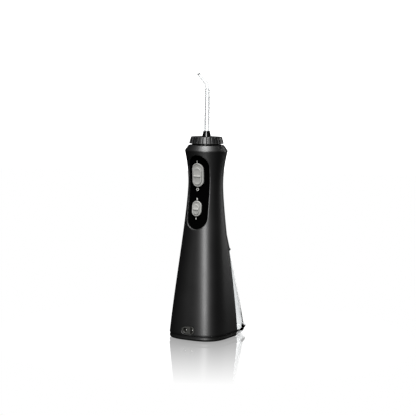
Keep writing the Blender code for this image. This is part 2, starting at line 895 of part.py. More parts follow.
def port_outline(shrink, steps=10):
    """A keyed outline: a small round end on the left, a larger one on the right."""
    large = PORT_RADIUS - shrink
    small = PORT_SMALL_SHARE * PORT_RADIUS - shrink
    left = -PORT_HALF_WIDTH + PORT_SMALL_SHARE * PORT_RADIUS
    right = PORT_HALF_WIDTH - PORT_RADIUS
    points = []
    for i in range(steps + 1):
        angle = math.radians(-80) + math.radians(160) * i / steps
        points.append((right + large * math.cos(angle), PORT_HEIGHT + large * math.sin(angle)))
    for i in range(steps + 1):
        angle = math.radians(100) + math.radians(160) * i / steps
        points.append((left + small * math.cos(angle), PORT_HEIGHT + small * math.sin(angle)))
    return points


def keyed_socket_outline(steps=10):
    """A D shape, flat towards the round socket."""
    centre = PIN_SPACING / 2
    points = []
    for i in range(steps + 1):
        angle = math.radians(-90) + math.radians(180) * i / steps
        x = centre - KEYED_SHIFT + 0.75 * KEYED_SOCKET_RADIUS * math.cos(angle)
        points.append((x, PORT_HEIGHT + KEYED_SOCKET_RADIUS * math.sin(angle)))
    return points


def make_charge_port():
    face = front_y(PORT_HEIGHT)
    port = place(
        "charge_port",
        outline_mesh(port_outline(GAP), face - OVERCUT, face + PORT_DEPTH + WALL),
        "gloss_black",
    )
    trim = place_cutter(
        "keep_port_face", handle_solid(0.002, 2.5 * PORT_HEIGHT, -PORT_RECESS, 5)
    )
    keep_inside(port, trim)
    round_socket = place_cutter(
        "cut_round_socket",
        cylinder_mesh(
            (-PIN_SPACING / 2, face - PORT_MARGIN, PORT_HEIGHT),
            PORT_DEPTH + PORT_MARGIN,
            ROUND_SOCKET_RADIUS,
            "Y",
        ),
    )
    keyed_socket = place_cutter(
        "cut_keyed_socket",
        outline_mesh(keyed_socket_outline(), face - PORT_MARGIN, face + PORT_DEPTH),
    )
    subtract(port, round_socket, keyed_socket)
    for index, side in enumerate((-1, 1)):
        hole = place_cutter(
            "cut_pin_hole_%d" % index,
            cylinder_mesh(
                (side * PIN_SPACING / 2, face, PORT_HEIGHT), 0.02, PIN_RADIUS + GAP, "Y", 16
            ),
        )
        subtract(port, hole)
    return port


def make_contact_pins():
    for name, side in (("contact_pin_left", -1), ("contact_pin_right", 1)):
        face = front_y(PORT_HEIGHT)
        start = (side * PIN_SPACING / 2, face + PIN_RECESS, PORT_HEIGHT)
        place(name, cylinder_mesh(start, PORT_DEPTH + WALL, PIN_RADIUS, "Y", 12), "steel")


# ---------------------------------------------------------------- neck, knob and tip


def make_neck_outlet():
    """The water outlet stands in the shell's top and carries the knob on its collar."""
    bore = SOCKET_STEM_RADIUS + SLIDE_GAP
    profile = [
        (bore, SOCKET_STEM_BOTTOM - OUTLET_DROP),
        (NECK_STUB_RADIUS, SOCKET_STEM_BOTTOM - OUTLET_DROP),
        (NECK_STUB_RADIUS, SHOULDER_HEIGHT + GAP),
        (COLLAR_RADIUS, SHOULDER_HEIGHT + GAP),
        (COLLAR_RADIUS, COLLAR_TOP),
        (NECK_STUB_RADIUS, COLLAR_TOP),
        (NECK_STUB_RADIUS - TURN_LIP, KNOB_TOP - KNOB_ROOF - TURN_LIP),
        (bore, KNOB_TOP - KNOB_ROOF - TURN_LIP),
    ]
    return turned_piece("neck_outlet", profile, "gloss_black")


def knob_ring(radius, height):
    per_rib = 4
    ring = []
    for i in range(KNOB_RIBS * per_rib):
        angle = math.tau * i / (KNOB_RIBS * per_rib)
        inward = KNOB_RIB_DEPTH if i % per_rib == 0 else 0.0
        spot = radius - inward
        ring.append(Vector((spot * math.cos(angle), spot * math.sin(angle), height)))
    return ring


def make_knob():
    rim = 0.0005
    rings = [
        knob_ring(KNOB_BOTTOM_RADIUS - rim, KNOB_BOTTOM),
        knob_ring(KNOB_BOTTOM_RADIUS, KNOB_BOTTOM + rim),
        knob_ring(KNOB_TOP_RADIUS + rim, KNOB_TOP - 2 * rim),
        knob_ring(KNOB_TOP_RADIUS - rim, KNOB_TOP),
    ]
    knob = place("rotation_knob", loft_mesh(rings), "satin_black")
    hollow = place_cutter(
        "cut_knob_hollow",
        cylinder_mesh(
            (0.0, 0.0, KNOB_BOTTOM - OVERCUT),
            KNOB_TOP - KNOB_ROOF - KNOB_BOTTOM + OVERCUT,
            COLLAR_RADIUS - TURN_LIP,
            sides=32,
        ),
    )
    bore = place_cutter(
        "cut_knob_bore",
        cylinder_mesh((0.0, 0.0, KNOB_BOTTOM), 0.02, SOCKET_BASE_RADIUS + GAP, sides=24),
    )
    subtract(knob, hollow, bore)
    return knob


def make_tip_socket():
    """The gloss cone that grips the tip, with a flange held under the knob's roof."""
    bore = TIP_STEM_RADIUS + GAP
    flange_top = KNOB_TOP - KNOB_ROOF - GAP
    profile = [
        (bore, SOCKET_STEM_BOTTOM),
        (SOCKET_STEM_RADIUS, SOCKET_STEM_BOTTOM),
        (SOCKET_STEM_RADIUS, flange_top),
        (SOCKET_BASE_RADIUS, flange_top),
        (SOCKET_BASE_RADIUS, KNOB_TOP + 0.0005),
        (SOCKET_TOP_RADIUS, SOCKET_TOP),
        (bore, SOCKET_TOP),
    ]
    return turned_piece("tip_socket", profile, "gloss_black", 24)


def tip_path():
    """Centre points, directions and outer radii from the stem up to the jet end."""
    bottom = SOCKET_STEM_BOTTOM + TIP_INSERT
    shoulder = SOCKET_TOP + GAP
    turn = TIP_BEND_RADIUS_OF_TURN
    stations = [
        (Vector((0, 0, bottom)), 0.0, TIP_STEM_RADIUS),
        (Vector((0, 0, shoulder)), 0.0, TIP_STEM_RADIUS),
        (Vector((0, 0, shoulder)), 0.0, TIP_ROOT_RADIUS),
        (Vector((0, 0, (shoulder + TIP_BEND_HEIGHT) / 2)), 0.0, (TIP_ROOT_RADIUS + TIP_BEND_RADIUS) / 2),
    ]
    run = turn * math.tan(TIP_BEND_ANGLE / 2)
    arc_steps = 5
    for i in range(arc_steps + 1):
        angle = TIP_BEND_ANGLE * i / arc_steps
        y = -turn * (1 - math.cos(angle))
        z = TIP_BEND_HEIGHT - run + turn * math.sin(angle)
        stations.append((Vector((0, y, z)), angle, TIP_BEND_RADIUS - TIP_TAPER_STEP * i))
    end = Vector((0, -TIP_REACH, TIP_BEND_HEIGHT + TIP_REACH / math.tan(TIP_BEND_ANGLE)))
    stations.append((end, TIP_BEND_ANGLE, TIP_END_RADIUS))
    return stations


def tip_ring(centre, angle, radius):
    """A ring square to the tip's path, which leans towards -Y."""
    ring = []
    up = Vector((0, math.cos(angle), math.sin(angle)))
    for i in range(TIP_SIDES):
        turn = math.tau * i / TIP_SIDES
        ring.append(centre + radius * (Vector((1, 0, 0)) * math.cos(turn) + up * math.sin(turn)))
    return ring


def make_jet_tip():
    stations = tip_path()
    outer = [tip_ring(*station) for station in stations]
    inner = [tip_ring(centre, angle, TIP_BORE) for centre, angle, _ in stations]
    inner[2] = tip_ring(stations[2][0] + Vector((0, 0, TIP_SHOULDER)), 0.0, TIP_BORE)
    return place("jet_tip", ring_loft_mesh(outer, inner), "clear_plastic")


# ---------------------------------------------------------------- tip release


def eject_outline(grow):
    side = EJECT_HALF_WIDTH + grow
    tall = EJECT_HALF_HEIGHT + grow
    return stadium(side, EJECT_HEIGHT - tall, EJECT_HEIGHT + tall)


def make_eject_button():
    low = EJECT_HEIGHT - 2 * EJECT_HALF_HEIGHT
    high = min(EJECT_HEIGHT + 1.7 * EJECT_HALF_HEIGHT, RIDGE_HEIGHT)
    button = place("eject_button", handle_solid(low, high, EJECT_PROUD, 5), "satin_black")
    back = place_cutter(
        "cut_eject_back", handle_solid(low - OVERCUT, high + OVERCUT, -1.5 * WALL, 5)
    )
    outline = place_cutter("keep_eject", outline_mesh(eject_outline(0.0), 0.4 * NECK_RADIUS, CLEAR_OF_CASING))
    keep_inside(button, outline)
    subtract(button, back)
    face = rear_y(EJECT_HEIGHT) - WALL
    stem = place_cutter(
        "add_eject_stem",
        cylinder_mesh(
            (0.0, face - 1.2 * WALL - EJECT_STEM_LENGTH, EJECT_HEIGHT),
            EJECT_STEM_LENGTH + 1.2 * WALL,
            EJECT_STEM_RADIUS,
            "Y",
            16,
        ),
    )
    unite(button, stem)
    return button


def make_eject_spring():
    """The coil round the button's stem, drawn at its pressed length."""
    radius = EJECT_STEM_RADIUS + SPRING_WIRE + SLIDE_GAP
    back = rear_y(EJECT_HEIGHT) - 2.0 * WALL - EJECT_STEM_LENGTH
    length = EJECT_STEM_LENGTH - EJECT_TRAVEL - SPRING_SLACK
    steps = 10
    curve = bpy.data.curves.new("eject_spring", "CURVE")
    curve.dimensions = "3D"
    curve.bevel_depth = SPRING_WIRE
    curve.bevel_resolution = 1
    curve.use_fill_caps = True
    spline = curve.splines.new("POLY")
    total = SPRING_TURNS * steps
    spline.points.add(total)
    for i, point in enumerate(spline.points):
        angle = math.tau * i / steps
        x = radius * math.cos(angle)
        z = EJECT_HEIGHT + radius * math.sin(angle)
        point.co = (x, back + length * i / total, z, 1.0)
    curve.materials.append(own_material("eject_spring", "steel"))
    piece = bpy.data.objects.new("eject_spring", curve)
    PARTS.objects.link(piece)
    return piece


def make_eject_guide():
    """The plate inside the neck that the spring bears on and the stem slides in."""
    back = rear_y(EJECT_HEIGHT) - 2.0 * WALL - EJECT_STEM_LENGTH - SPRING_WIRE - GAP
    guide = place(
        "eject_guide",
        box_mesh(
            (-GUIDE_HALF_WIDTH, back - GUIDE_THICKNESS, EJECT_HEIGHT - GUIDE_HALF_HEIGHT),
            (GUIDE_HALF_WIDTH, back, EJECT_HEIGHT + GUIDE_HALF_HEIGHT),
        ),
        "white_plastic",
    )
    hole = place_cutter(
        "cut_eject_guide",
        cylinder_mesh((0.0, back - 0.01, EJECT_HEIGHT), 0.02, EJECT_STEM_RADIUS + GAP, "Y", 16),
    )
    subtract(guide, hole)
    return guide


# ---------------------------------------------------------------- drive train


def gear_points(teeth, centre_z, first_angle):
    """Straight-sided teeth: four points to a tooth, about a centre on the YZ plane's Z axis."""
    pitch = GEAR_MODULE * teeth / 2
    tip = pitch + 0.9 * GEAR_MODULE
    root = pitch - 1.15 * GEAR_MODULE
    step = math.tau / teeth
    points = []
    for tooth in range(teeth):
        middle = first_angle + tooth * step
        for radius, share in ((root, -0.30), (tip, -0.10), (tip, 0.10), (root, 0.30)):
            angle = middle + share * step
            points.append((radius * math.cos(angle), centre_z + radius * math.sin(angle)))
    return points


def gear_centre():
    spacing = GEAR_MODULE * (GEAR_TEETH + PINION_TEETH) / 2 + GEAR_BACKLASH
    return MOTOR_HEIGHT + spacing


def make_drive_train():
    gear_z = gear_centre()
    gear = place(
        "drive_gear",
        outline_mesh(
            gear_points(GEAR_TEETH, gear_z, math.radians(-90)), GEAR_Y, GEAR_Y + GEAR_WIDTH
        ),
        "white_plastic",
        (0.0, GEAR_Y, gear_z),
    )
    bore = place_cutter(
        "cut_gear_bore",
        cylinder_mesh((0.0, GEAR_Y - 0.01, gear_z), 0.03, AXLE_RADIUS + GAP / 2, "Y"),
    )
    crank = place_cutter(
        "add_crank_pin",
        cylinder_mesh(
            (0.0, GEAR_Y - 0.0006, gear_z + CRANK_RADIUS), 0.0006 + GEAR_WIDTH / 2, CRANK_PIN_RADIUS, "Y"
        ),
    )
    subtract(gear, bore)
    unite(gear, crank)
    axle_start = GEAR_Y - 0.0004
    place(
        "gear_axle",
        cylinder_mesh(
            (0.0, axle_start, gear_z), CHASSIS_Y + CHASSIS_THICKNESS - axle_start, AXLE_RADIUS, "Y"
        ),
        "steel",
    )
    pinion_start = GEAR_Y - 0.0003
    pinion = place(
        "motor_pinion",
        outline_mesh(
            gear_points(PINION_TEETH, MOTOR_HEIGHT, math.radians(90) + math.pi / PINION_TEETH),
            pinion_start,
            pinion_start + GEAR_WIDTH + 0.0006,
        ),
        "brass",
        (0.0, GEAR_Y, MOTOR_HEIGHT),
    )
    pinion_bore = place_cutter(
        "cut_pinion_bore",
        cylinder_mesh((0.0, -0.01, MOTOR_HEIGHT), 0.03, SHAFT_RADIUS + GAP, "Y", 16),
    )
    subtract(pinion, pinion_bore)
    place(
        "motor_shaft",
        cylinder_mesh(
            (0.0, MOTOR_FRONT - MOTOR_LENGTH + 0.004, MOTOR_HEIGHT),
            GEAR_Y + GEAR_WIDTH + 0.0006 - MOTOR_FRONT + MOTOR_LENGTH - 0.004,
            SHAFT_RADIUS,
            "Y",
            16,
        ),
        "steel",
        (0.0, GEAR_Y, MOTOR_HEIGHT),
    )


def make_motor():
    back = MOTOR_FRONT - MOTOR_LENGTH
    can = place(
        "motor_can",
        cylinder_mesh((0.0, back, MOTOR_HEIGHT), MOTOR_LENGTH, MOTOR_RADIUS, "Y", 28),
        "steel",
    )
    bore = place_cutter(
        "cut_motor_bore",
        cylinder_mesh(
            (0.0, back + 0.003, MOTOR_HEIGHT), MOTOR_LENGTH + 0.01, SHAFT_RADIUS + GAP, "Y", 16
        ),
    )
    subtract(can, bore)
    place(
        "motor_end_cap",
        cylinder_mesh(
            (0.0, back - GAP - MOTOR_CAP_LENGTH, MOTOR_HEIGHT),
            MOTOR_CAP_LENGTH,
            0.92 * MOTOR_RADIUS,
            "Y",
            28,
        ),
        "white_plastic",
    )
    plate_y = MOTOR_FRONT + GAP
    top = gear_centre() - CRANK_RADIUS - 2.2 * CRANK_PIN_RADIUS
    mount = place(
        "motor_mount",
        box_mesh(
            (-1.15 * MOTOR_RADIUS, plate_y, MOTOR_HEIGHT - 1.15 * MOTOR_RADIUS),
            (1.15 * MOTOR_RADIUS, plate_y + MOUNT_THICKNESS, top),
        ),
        "white_plastic",
    )
    hole = place_cutter(
        "cut_mount_hole",
        cylinder_mesh((0.0, -0.01, MOTOR_HEIGHT), 0.03, 3 * SHAFT_RADIUS, "Y", 16),
    )
    subtract(mount, hole)


def make_chassis():
    top = PUMP_BOTTOM + PUMP_LENGTH
    chassis = place(
        "chassis_plate",
        box_mesh(
            (-CHASSIS_HALF_WIDTH, CHASSIS_Y, CHASSIS_BOTTOM),
            (CHASSIS_HALF_WIDTH, CHASSIS_Y + CHASSIS_THICKNESS, top),
        ),
        "white_plastic",
    )
    hole = place_cutter(
        "cut_axle_hole",
        cylinder_mesh((0.0, 0.0, gear_centre()), 0.03, AXLE_RADIUS + GAP, "Y"),
    )
    subtract(chassis, hole)


# ---------------------------------------------------------------- pump


def make_pump():
    top = PUMP_BOTTOM + PUMP_LENGTH
    cylinder = place(
        "pump_cylinder",
        cylinder_mesh((0.0, PUMP_Y, PUMP_BOTTOM), PUMP_LENGTH, PUMP_RADIUS, sides=28),
        "white_plastic",
    )
    bore = place_cutter(
        "cut_pump_bore",
        cylinder_mesh((0.0, PUMP_Y, PUMP_BOTTOM - 0.01), PUMP_LENGTH + 0.02, PUMP_BORE, sides=28),
    )
    subtract(cylinder, bore)
    head_bottom = top + GAP
    head = place(
        "pump_head",
        box_mesh(
            (-PUMP_HEAD_HALF_WIDTH, PUMP_Y - PUMP_HEAD_HALF_DEPTH, head_bottom),
            (PUMP_HEAD_HALF_WIDTH, PUMP_Y + PUMP_HEAD_HALF_DEPTH, head_bottom + PUMP_HEAD_HEIGHT),
        ),
        "white_plastic",
    )
    port_top = head_bottom + PUMP_HEAD_HEIGHT
    for name, side in (("inlet", -1), ("outlet", 1)):
        x = side * VALVE_OFFSET
        chamber = place_cutter(
            "cut_" + name + "_chamber",
            cylinder_mesh(
                (x, PUMP_Y, head_bottom + VALVE_FLOOR),
                VALVE_CHAMBER_HEIGHT,
                VALVE_CHAMBER_RADIUS,
                sides=16,
            ),
        )
        passage = place_cutter(
            "cut_" + name + "_passage",
            cylinder_mesh((x, PUMP_Y, head_bottom - TURN_LIP), 0.02, VALVE_PASSAGE, sides=12),
        )
        subtract(head, chamber, passage)
        ball_z = head_bottom + VALVE_FLOOR + VALVE_BALL_RADIUS + GAP
        place(
            name + "_valve_ball",
            sphere_mesh((x, PUMP_Y, ball_z), VALVE_BALL_RADIUS),
            "steel",
            (x, PUMP_Y, ball_z),
        )
    return port_top


def make_piston():
    """Piston, rod and its eye, drawn half way up the stroke."""
    middle = PUMP_BOTTOM + PUMP_LENGTH / 2
    piston_bottom = middle - PISTON_LENGTH / 2
    radius = PUMP_BORE - GAP
    profile = [
        (radius, piston_bottom),
        (radius, middle),
        (radius - PISTON_GROOVE, middle),
        (radius - PISTON_GROOVE, middle + PISTON_GROOVE_HEIGHT),
        (radius, middle + PISTON_GROOVE_HEIGHT),
        (radius, piston_bottom + PISTON_LENGTH),
    ]
    mesh = turned_bar(profile)
    mesh.transform(Matrix.Translation((0.0, PUMP_Y, 0.0)))
    piston = place("piston", mesh, "white_plastic", (0.0, PUMP_Y, middle))
    gear_z = gear_centre()
    eye_z = gear_z + CRANK_RADIUS
    rod = place_cutter(
        "add_piston_rod",
        box_mesh(
            (-ROD_HALF_WIDTH, PUMP_Y - ROD_HALF_DEPTH, eye_z),
            (ROD_HALF_WIDTH, PUMP_Y + ROD_HALF_DEPTH, middle),
        ),
    )
    eye = place_cutter(
        "add_piston_eye",
        cylinder_mesh(
            (0.0, PUMP_Y - ROD_HALF_DEPTH, eye_z), 2 * ROD_HALF_DEPTH, ROD_EYE_RADIUS, "Y"
        ),
    )
    unite(piston, rod, eye)
    profile = [
        (radius - PISTON_GROOVE + GAP, middle + GAP),
        (radius, middle + GAP),
        (radius, middle + PISTON_GROOVE_HEIGHT - GAP),
        (radius - PISTON_GROOVE + GAP, middle + PISTON_GROOVE_HEIGHT - GAP),
    ]
    seal = turned_piece("piston_seal", profile, "rubber", 24)
    seal.location = (0.0, PUMP_Y, 0.0)


def make_hoses(port_top):
    spout_end = bay_y(SPOUT_HEIGHT) - WALL - SPOUT_REACH
    inlet = [
        (0.0, spout_end - 2 * GAP, SPOUT_HEIGHT),
        (0.0, spout_end - 0.003, SPOUT_HEIGHT),
        (-0.0005, spout_end - 0.006, SPOUT_HEIGHT + 0.0002),
        (-0.0110, 0.0020, 0.0180),
        (-0.0190, 0.0040, 0.0330),
        (-0.0200, 0.0050, 0.0550),
        (-0.0170, 0.0030, 0.0850),
        (-0.0157, PUMP_Y, port_top - 0.004),
        (-0.0126, PUMP_Y, port_top + 0.006),
        (-0.0075, PUMP_Y, port_top + 0.009),
        (-VALVE_OFFSET, PUMP_Y, port_top + 0.005),
        (-VALVE_OFFSET, PUMP_Y, port_top + GAP),
    ]
    hose_piece("inlet_hose", inlet, HOSE_RADIUS, "rubber")
    valve_low = (PRESSURE_BOTTOM + PRESSURE_TOP) / 2 - VALVE_BODY_DROP
    lower = [
        (VALVE_OFFSET, PUMP_Y, port_top + GAP),
        (VALVE_OFFSET, PUMP_Y, port_top + 0.003),
        (VALVE_OFFSET, PUMP_Y, port_top + 0.006),
        (0.0, 0.0, valve_low - 0.006),
        (0.0, 0.0, valve_low - 0.003),
        (0.0, 0.0, valve_low - GAP),
    ]
    hose_piece("pressure_hose", lower, HOSE_RADIUS, "rubber")
    valve_top = valve_low + VALVE_BODY_LENGTH
    upper = [
        (0.0, 0.0, valve_top + GAP),
        (0.0, 0.0, valve_top + 0.010),
        (0.0, -0.0005, (valve_top + SOCKET_STEM_BOTTOM) / 2),
        (0.0, 0.0, SOCKET_STEM_BOTTOM - 0.010),
        (0.0, 0.0, SOCKET_STEM_BOTTOM - 0.0035),
    ]
    hose_piece("outlet_hose", upper, HOSE_RADIUS, "rubber")
    place(
        "pressure_valve",
        cylinder_mesh((0.0, 0.0, valve_low), VALVE_BODY_LENGTH, VALVE_BODY_RADIUS),
        "white_plastic",
    )


# ---------------------------------------------------------------- batteries and electronics


def make_batteries():
    for name, side in (("battery_cell_left", -1), ("battery_cell_right", 1)):
        x = side * CELL_X
        body = cylinder_mesh((x, CELL_Y, CELL_BOTTOM), CELL_LENGTH, CELL_RADIUS, sides=24)
        place(name, body, "cell_wrap")
    top = CELL_BOTTOM + CELL_LENGTH
    strap_x = CELL_X + STRAP_OVERHANG
    straps = (
        ("battery_clip_lower", CELL_BOTTOM - GAP - STRAP_THICKNESS),
        ("battery_clip_upper", top + GAP),
    )
    for name, low in straps:
        place(
            name,
            box_mesh(
                (-strap_x, CELL_Y - STRAP_HALF_DEPTH, low),
                (strap_x, CELL_Y + STRAP_HALF_DEPTH, low + STRAP_THICKNESS),
            ),
            "steel",
        )


def make_electronics():
    place(
        "circuit_board",
        box_mesh(
            (-BOARD_HALF_WIDTH, BOARD_Y, BOARD_BOTTOM),
            (BOARD_HALF_WIDTH, BOARD_Y + BOARD_THICKNESS, BOARD_TOP),
        ),
        "circuit_green",
    )
    middle = (POWER_BOTTOM + POWER_TOP) / 2
    place(
        "power_switch",
        box_mesh(
            (-SWITCH_HALF_WIDTH, BOARD_Y - GAP - SWITCH_DEPTH, middle - SWITCH_HALF_HEIGHT),
            (SWITCH_HALF_WIDTH, BOARD_Y - GAP, middle + SWITCH_HALF_HEIGHT),
        ),
        "white_plastic",
    )


# ---------------------------------------------------------------- tank, cap and filling door


def flange_ring(z):
    """The tank's outline at a height, drawn out to the rear into its foot flange."""
    stretch = 1.0 + FLANGE_REACH / rear_depth(z)
    return [Vector((point.x, point.y * stretch if point.y > 0 else point.y, z)) for point in section(z)]


def make_tank():
    """The clear tank: full outline up to the cap, then a narrower throat inside the cap."""
    edge = TANK_EDGE
    rings = [
        section(TANK_FOOT, -0.7 * edge, TANK_FOOT),
        section(edge + TANK_FOOT, 0.0),
        flange_ring(FLANGE_BOTTOM),
        flange_ring(FLANGE_TOP),
        section(FLANGE_TOP + 0.5 * FLANGE_REACH),
    ]
    for z in np.linspace(0.020, CAP_BOTTOM - GAP, 6):
        rings.append(section(float(z)))
    tank = place("water_tank", loft_mesh(rings), "clear_plastic")
    throat_top = BAY_HEIGHT - CAP_ROOF - 2 * GAP
    throat = place_cutter(
        "add_tank_throat",
        handle_solid(CAP_BOTTOM - 0.006, throat_top, -CAP_SKIN - 2 * GAP, 3),
    )
    throat_back = DOOR_THICKNESS + THROAT_GAP
    behind_door = place_cutter(
        "cut_throat_back",
        leaning_block(
            DOOR_HALF_WIDTH + 0.002,
            CAP_BOTTOM + GAP,
            0.13,
            lambda z: door_face_y(z) - throat_back,
            lambda z: BLOCK_HALF_SIDE,
        ),
    )
    subtract(throat, behind_door)
    unite(tank, throat)
    before = place_cutter("keep_behind_bay", behind_bay(2 * GAP, ABOVE_CAP))
    keep_inside(tank, before)
    hollow = place_cutter(
        "cut_tank_hollow",
        loft_mesh(
            [section(TANK_FOOT + edge, -0.7 * edge - TANK_WALL, TANK_FOOT + TANK_WALL)]
            + [section(float(z), -TANK_WALL) for z in np.linspace(0.012, CAP_BOTTOM - 0.004, 6)]
        ),
    )
    throat_hollow = place_cutter(
        "add_throat_hollow",
        handle_solid(
            CAP_BOTTOM - 0.009, throat_top - TANK_WALL, -CAP_SKIN - 2 * GAP - TANK_WALL, 3
        ),
    )
    inner_back = place_cutter(
        "cut_hollow_back",
        leaning_block(
            DOOR_HALF_WIDTH + 0.002 + TANK_WALL,
            CAP_BOTTOM + GAP - TANK_WALL,
            0.13,
            lambda z: door_face_y(z) - throat_back - TANK_WALL,
            lambda z: BLOCK_HALF_SIDE,
        ),
    )
    subtract(throat_hollow, inner_back)
    unite(hollow, throat_hollow)
    keep_inside(hollow, place_cutter("keep_hollow", behind_bay(2 * GAP + TANK_WALL, ABOVE_CAP)))
    mouth = place_cutter(
        "cut_tank_mouth",
        box_mesh(
            (-MOUTH_HALF_WIDTH, bay_y(MOUTH_TOP) + 0.004, MOUTH_BOTTOM),
            (MOUTH_HALF_WIDTH, 0.08, MOUTH_TOP),
        ),
    )
    spout_start = bay_y(SPOUT_HEIGHT) - WALL - SPOUT_REACH
    spout = place_cutter(
        "add_tank_spout",
        cylinder_mesh(
            (0.0, spout_start, SPOUT_HEIGHT), SPOUT_REACH + 2 * WALL, SPOUT_RADIUS, "Y"
        ),
    )
    spout_bore = place_cutter(
        "cut_spout_bore",
        cylinder_mesh(
            (0.0, spout_start - 0.002, SPOUT_HEIGHT), SPOUT_REACH + 0.012, SPOUT_BORE, "Y", 16
        ),
    )
    subtract(tank, hollow, mouth)
    unite(tank, spout)
    subtract(tank, spout_bore)
    return tank


def make_tank_cap():
    rings = [
        section(CAP_BOTTOM, CAP_LIP),
        section(CAP_BOTTOM, CAP_LIP, CAP_BOTTOM + CAP_LIP_HEIGHT),
        section(CAP_BOTTOM + CAP_LIP_HEIGHT + 0.0004),
        section((CAP_BOTTOM + BAY_HEIGHT) / 2),
        section(BAY_HEIGHT - GAP),
    ]
    cap = place("tank_cap", loft_mesh(rings), "satin_black")
    keep_inside(cap, place_cutter("keep_cap", behind_bay(2 * GAP, ABOVE_CAP)))
    inner = place_cutter(
        "cut_cap_inner",
        handle_solid(CAP_BOTTOM - OVERCUT, BAY_HEIGHT - CAP_ROOF - GAP, -CAP_SKIN, 3),
    )
    window = place_cutter(
        "cut_cap_window",
        box_mesh((-DOOR_HALF_WIDTH, 0.016, DOOR_BOTTOM), (DOOR_HALF_WIDTH, 0.08, DOOR_TOP)),
    )
    subtract(cap, inner, window)
    pin_hole = place_cutter(
        "cut_cap_pin",
        cylinder_mesh(
            (-DOOR_HALF_WIDTH - PIN_REACH - GAP, hinge_y(), hinge_z()),
            2 * (DOOR_HALF_WIDTH + PIN_REACH + GAP),
            HINGE_RADIUS + GAP / 2,
            "X",
            12,
        ),
    )
    subtract(cap, pin_hole)


def hinge_z():
    return DOOR_TOP - HINGE_DROP


def hinge_y():
    return door_face_y(hinge_z()) - DOOR_THICKNESS / 2


def make_fill_door():
    side = DOOR_HALF_WIDTH - GAP
    door = place(
        "fill_door",
        leaning_block(
            side,
            DOOR_BOTTOM + GAP,
            DOOR_TOP - DOOR_TOP_GAP,
            lambda z: door_face_y(z) - DOOR_THICKNESS,
            door_face_y,
        ),
        "satin_black",
        (0.0, hinge_y(), hinge_z()),
    )
    lip = place_cutter(
        "add_door_lip",
        leaning_block(
            0.6 * side,
            DOOR_BOTTOM + GAP,
            DOOR_BOTTOM + GAP + DOOR_LIP_HEIGHT,
            lambda z: door_face_y(z) - DOOR_THICKNESS / 2,
            lambda z: door_face_y(z) + DOOR_LIP,
        ),
    )
    bore = place_cutter(
        "cut_door_bore",
        cylinder_mesh(
            (-DOOR_HALF_WIDTH - OVERCUT, hinge_y(), hinge_z()),
            2 * (DOOR_HALF_WIDTH + OVERCUT),
            HINGE_RADIUS + GAP / 2,
            "X",
            12,
        ),
    )
    unite(door, lip)
    subtract(door, bore)
    place(
        "door_seal",
        leaning_block(
            MOUTH_HALF_WIDTH + 0.001,
            MOUTH_BOTTOM - 0.0008,
            MOUTH_TOP + 0.0008,
            lambda z: door_face_y(z) - DOOR_THICKNESS - GAP - SEAL_THICKNESS,
            lambda z: door_face_y(z) - DOOR_THICKNESS - GAP,
        ),
        "rubber",
        (0.0, hinge_y(), hinge_z()),
    )
    reach = DOOR_HALF_WIDTH + PIN_REACH
    place(
        "door_hinge_pin",
        cylinder_mesh((-reach, hinge_y(), hinge_z()), 2 * reach, HINGE_RADIUS, "X", 12),
        "steel",
    )


def make_tank_fittings():
    start = bay_y(SPOUT_HEIGHT) + 2 * WALL + 0.0030
    points = [
        (0.0, start, SPOUT_HEIGHT - 0.002),
        (0.0, start + 0.004, SPOUT_HEIGHT - 0.004),
        (0.0, start + 0.010, SPOUT_HEIGHT - 0.006),
    ]
    hose_piece("suction_tube", points, STRAW_RADIUS, "clear_plastic")
    wall = bay_y(SPOUT_HEIGHT) - WALL
    seal = turned_piece(
        "spout_seal",
        [
            (SPOUT_RADIUS + GAP, 0.0),
            (SPOUT_RADIUS + 0.0016, 0.0),
            (SPOUT_RADIUS + 0.0016, 0.0014),
            (SPOUT_RADIUS + GAP, 0.0014),
        ],
        "rubber",
        20,
    )
    seal.rotation_euler = (math.radians(90), 0.0, 0.0)
    seal.location = (0.0, wall - 3 * GAP, SPOUT_HEIGHT)


def main():
    make_shell()
    make_base_cover()
    make_base_screws()
    make_panel()
    make_boot("power_boot", POWER_HALF_WIDTH, POWER_BOTTOM, POWER_TOP)
    make_boot("pressure_boot", PRESSURE_HALF_WIDTH, PRESSURE_BOTTOM, PRESSURE_TOP)
    make_slider("power_slider", POWER_HALF_WIDTH, POWER_BOTTOM, POWER_TOP, POWER_TRAVEL)
    make_slider(
        "pressure_slider", PRESSURE_HALF_WIDTH, PRESSURE_BOTTOM, PRESSURE_TOP, PRESSURE_TRAVEL
    )
    make_charge_port()
    make_contact_pins()
    make_neck_outlet()
    make_knob()
    make_tip_socket()
    make_jet_tip()
    make_eject_button()
    make_eject_spring()
    make_eject_guide()
    make_drive_train()
    make_motor()
    make_chassis()
    port_top = make_pump()
    make_piston()
    make_hoses(port_top)
    make_batteries()
    make_electronics()
    make_tank()
    make_tank_cap()
    make_fill_door()
    make_tank_fittings()


clear_scene()
PARTS = new_collection("water_flosser")
CUTTERS = new_collection("cutters")
MATERIALS = {name: make_material(name) for name in COLOURS}
main()
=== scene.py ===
"""Cordless water flosser: the fine visual model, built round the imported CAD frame."""

import json
import math

import bmesh
import bpy
import numpy as np
from mathutils import Euler, Matrix, Vector, geometry


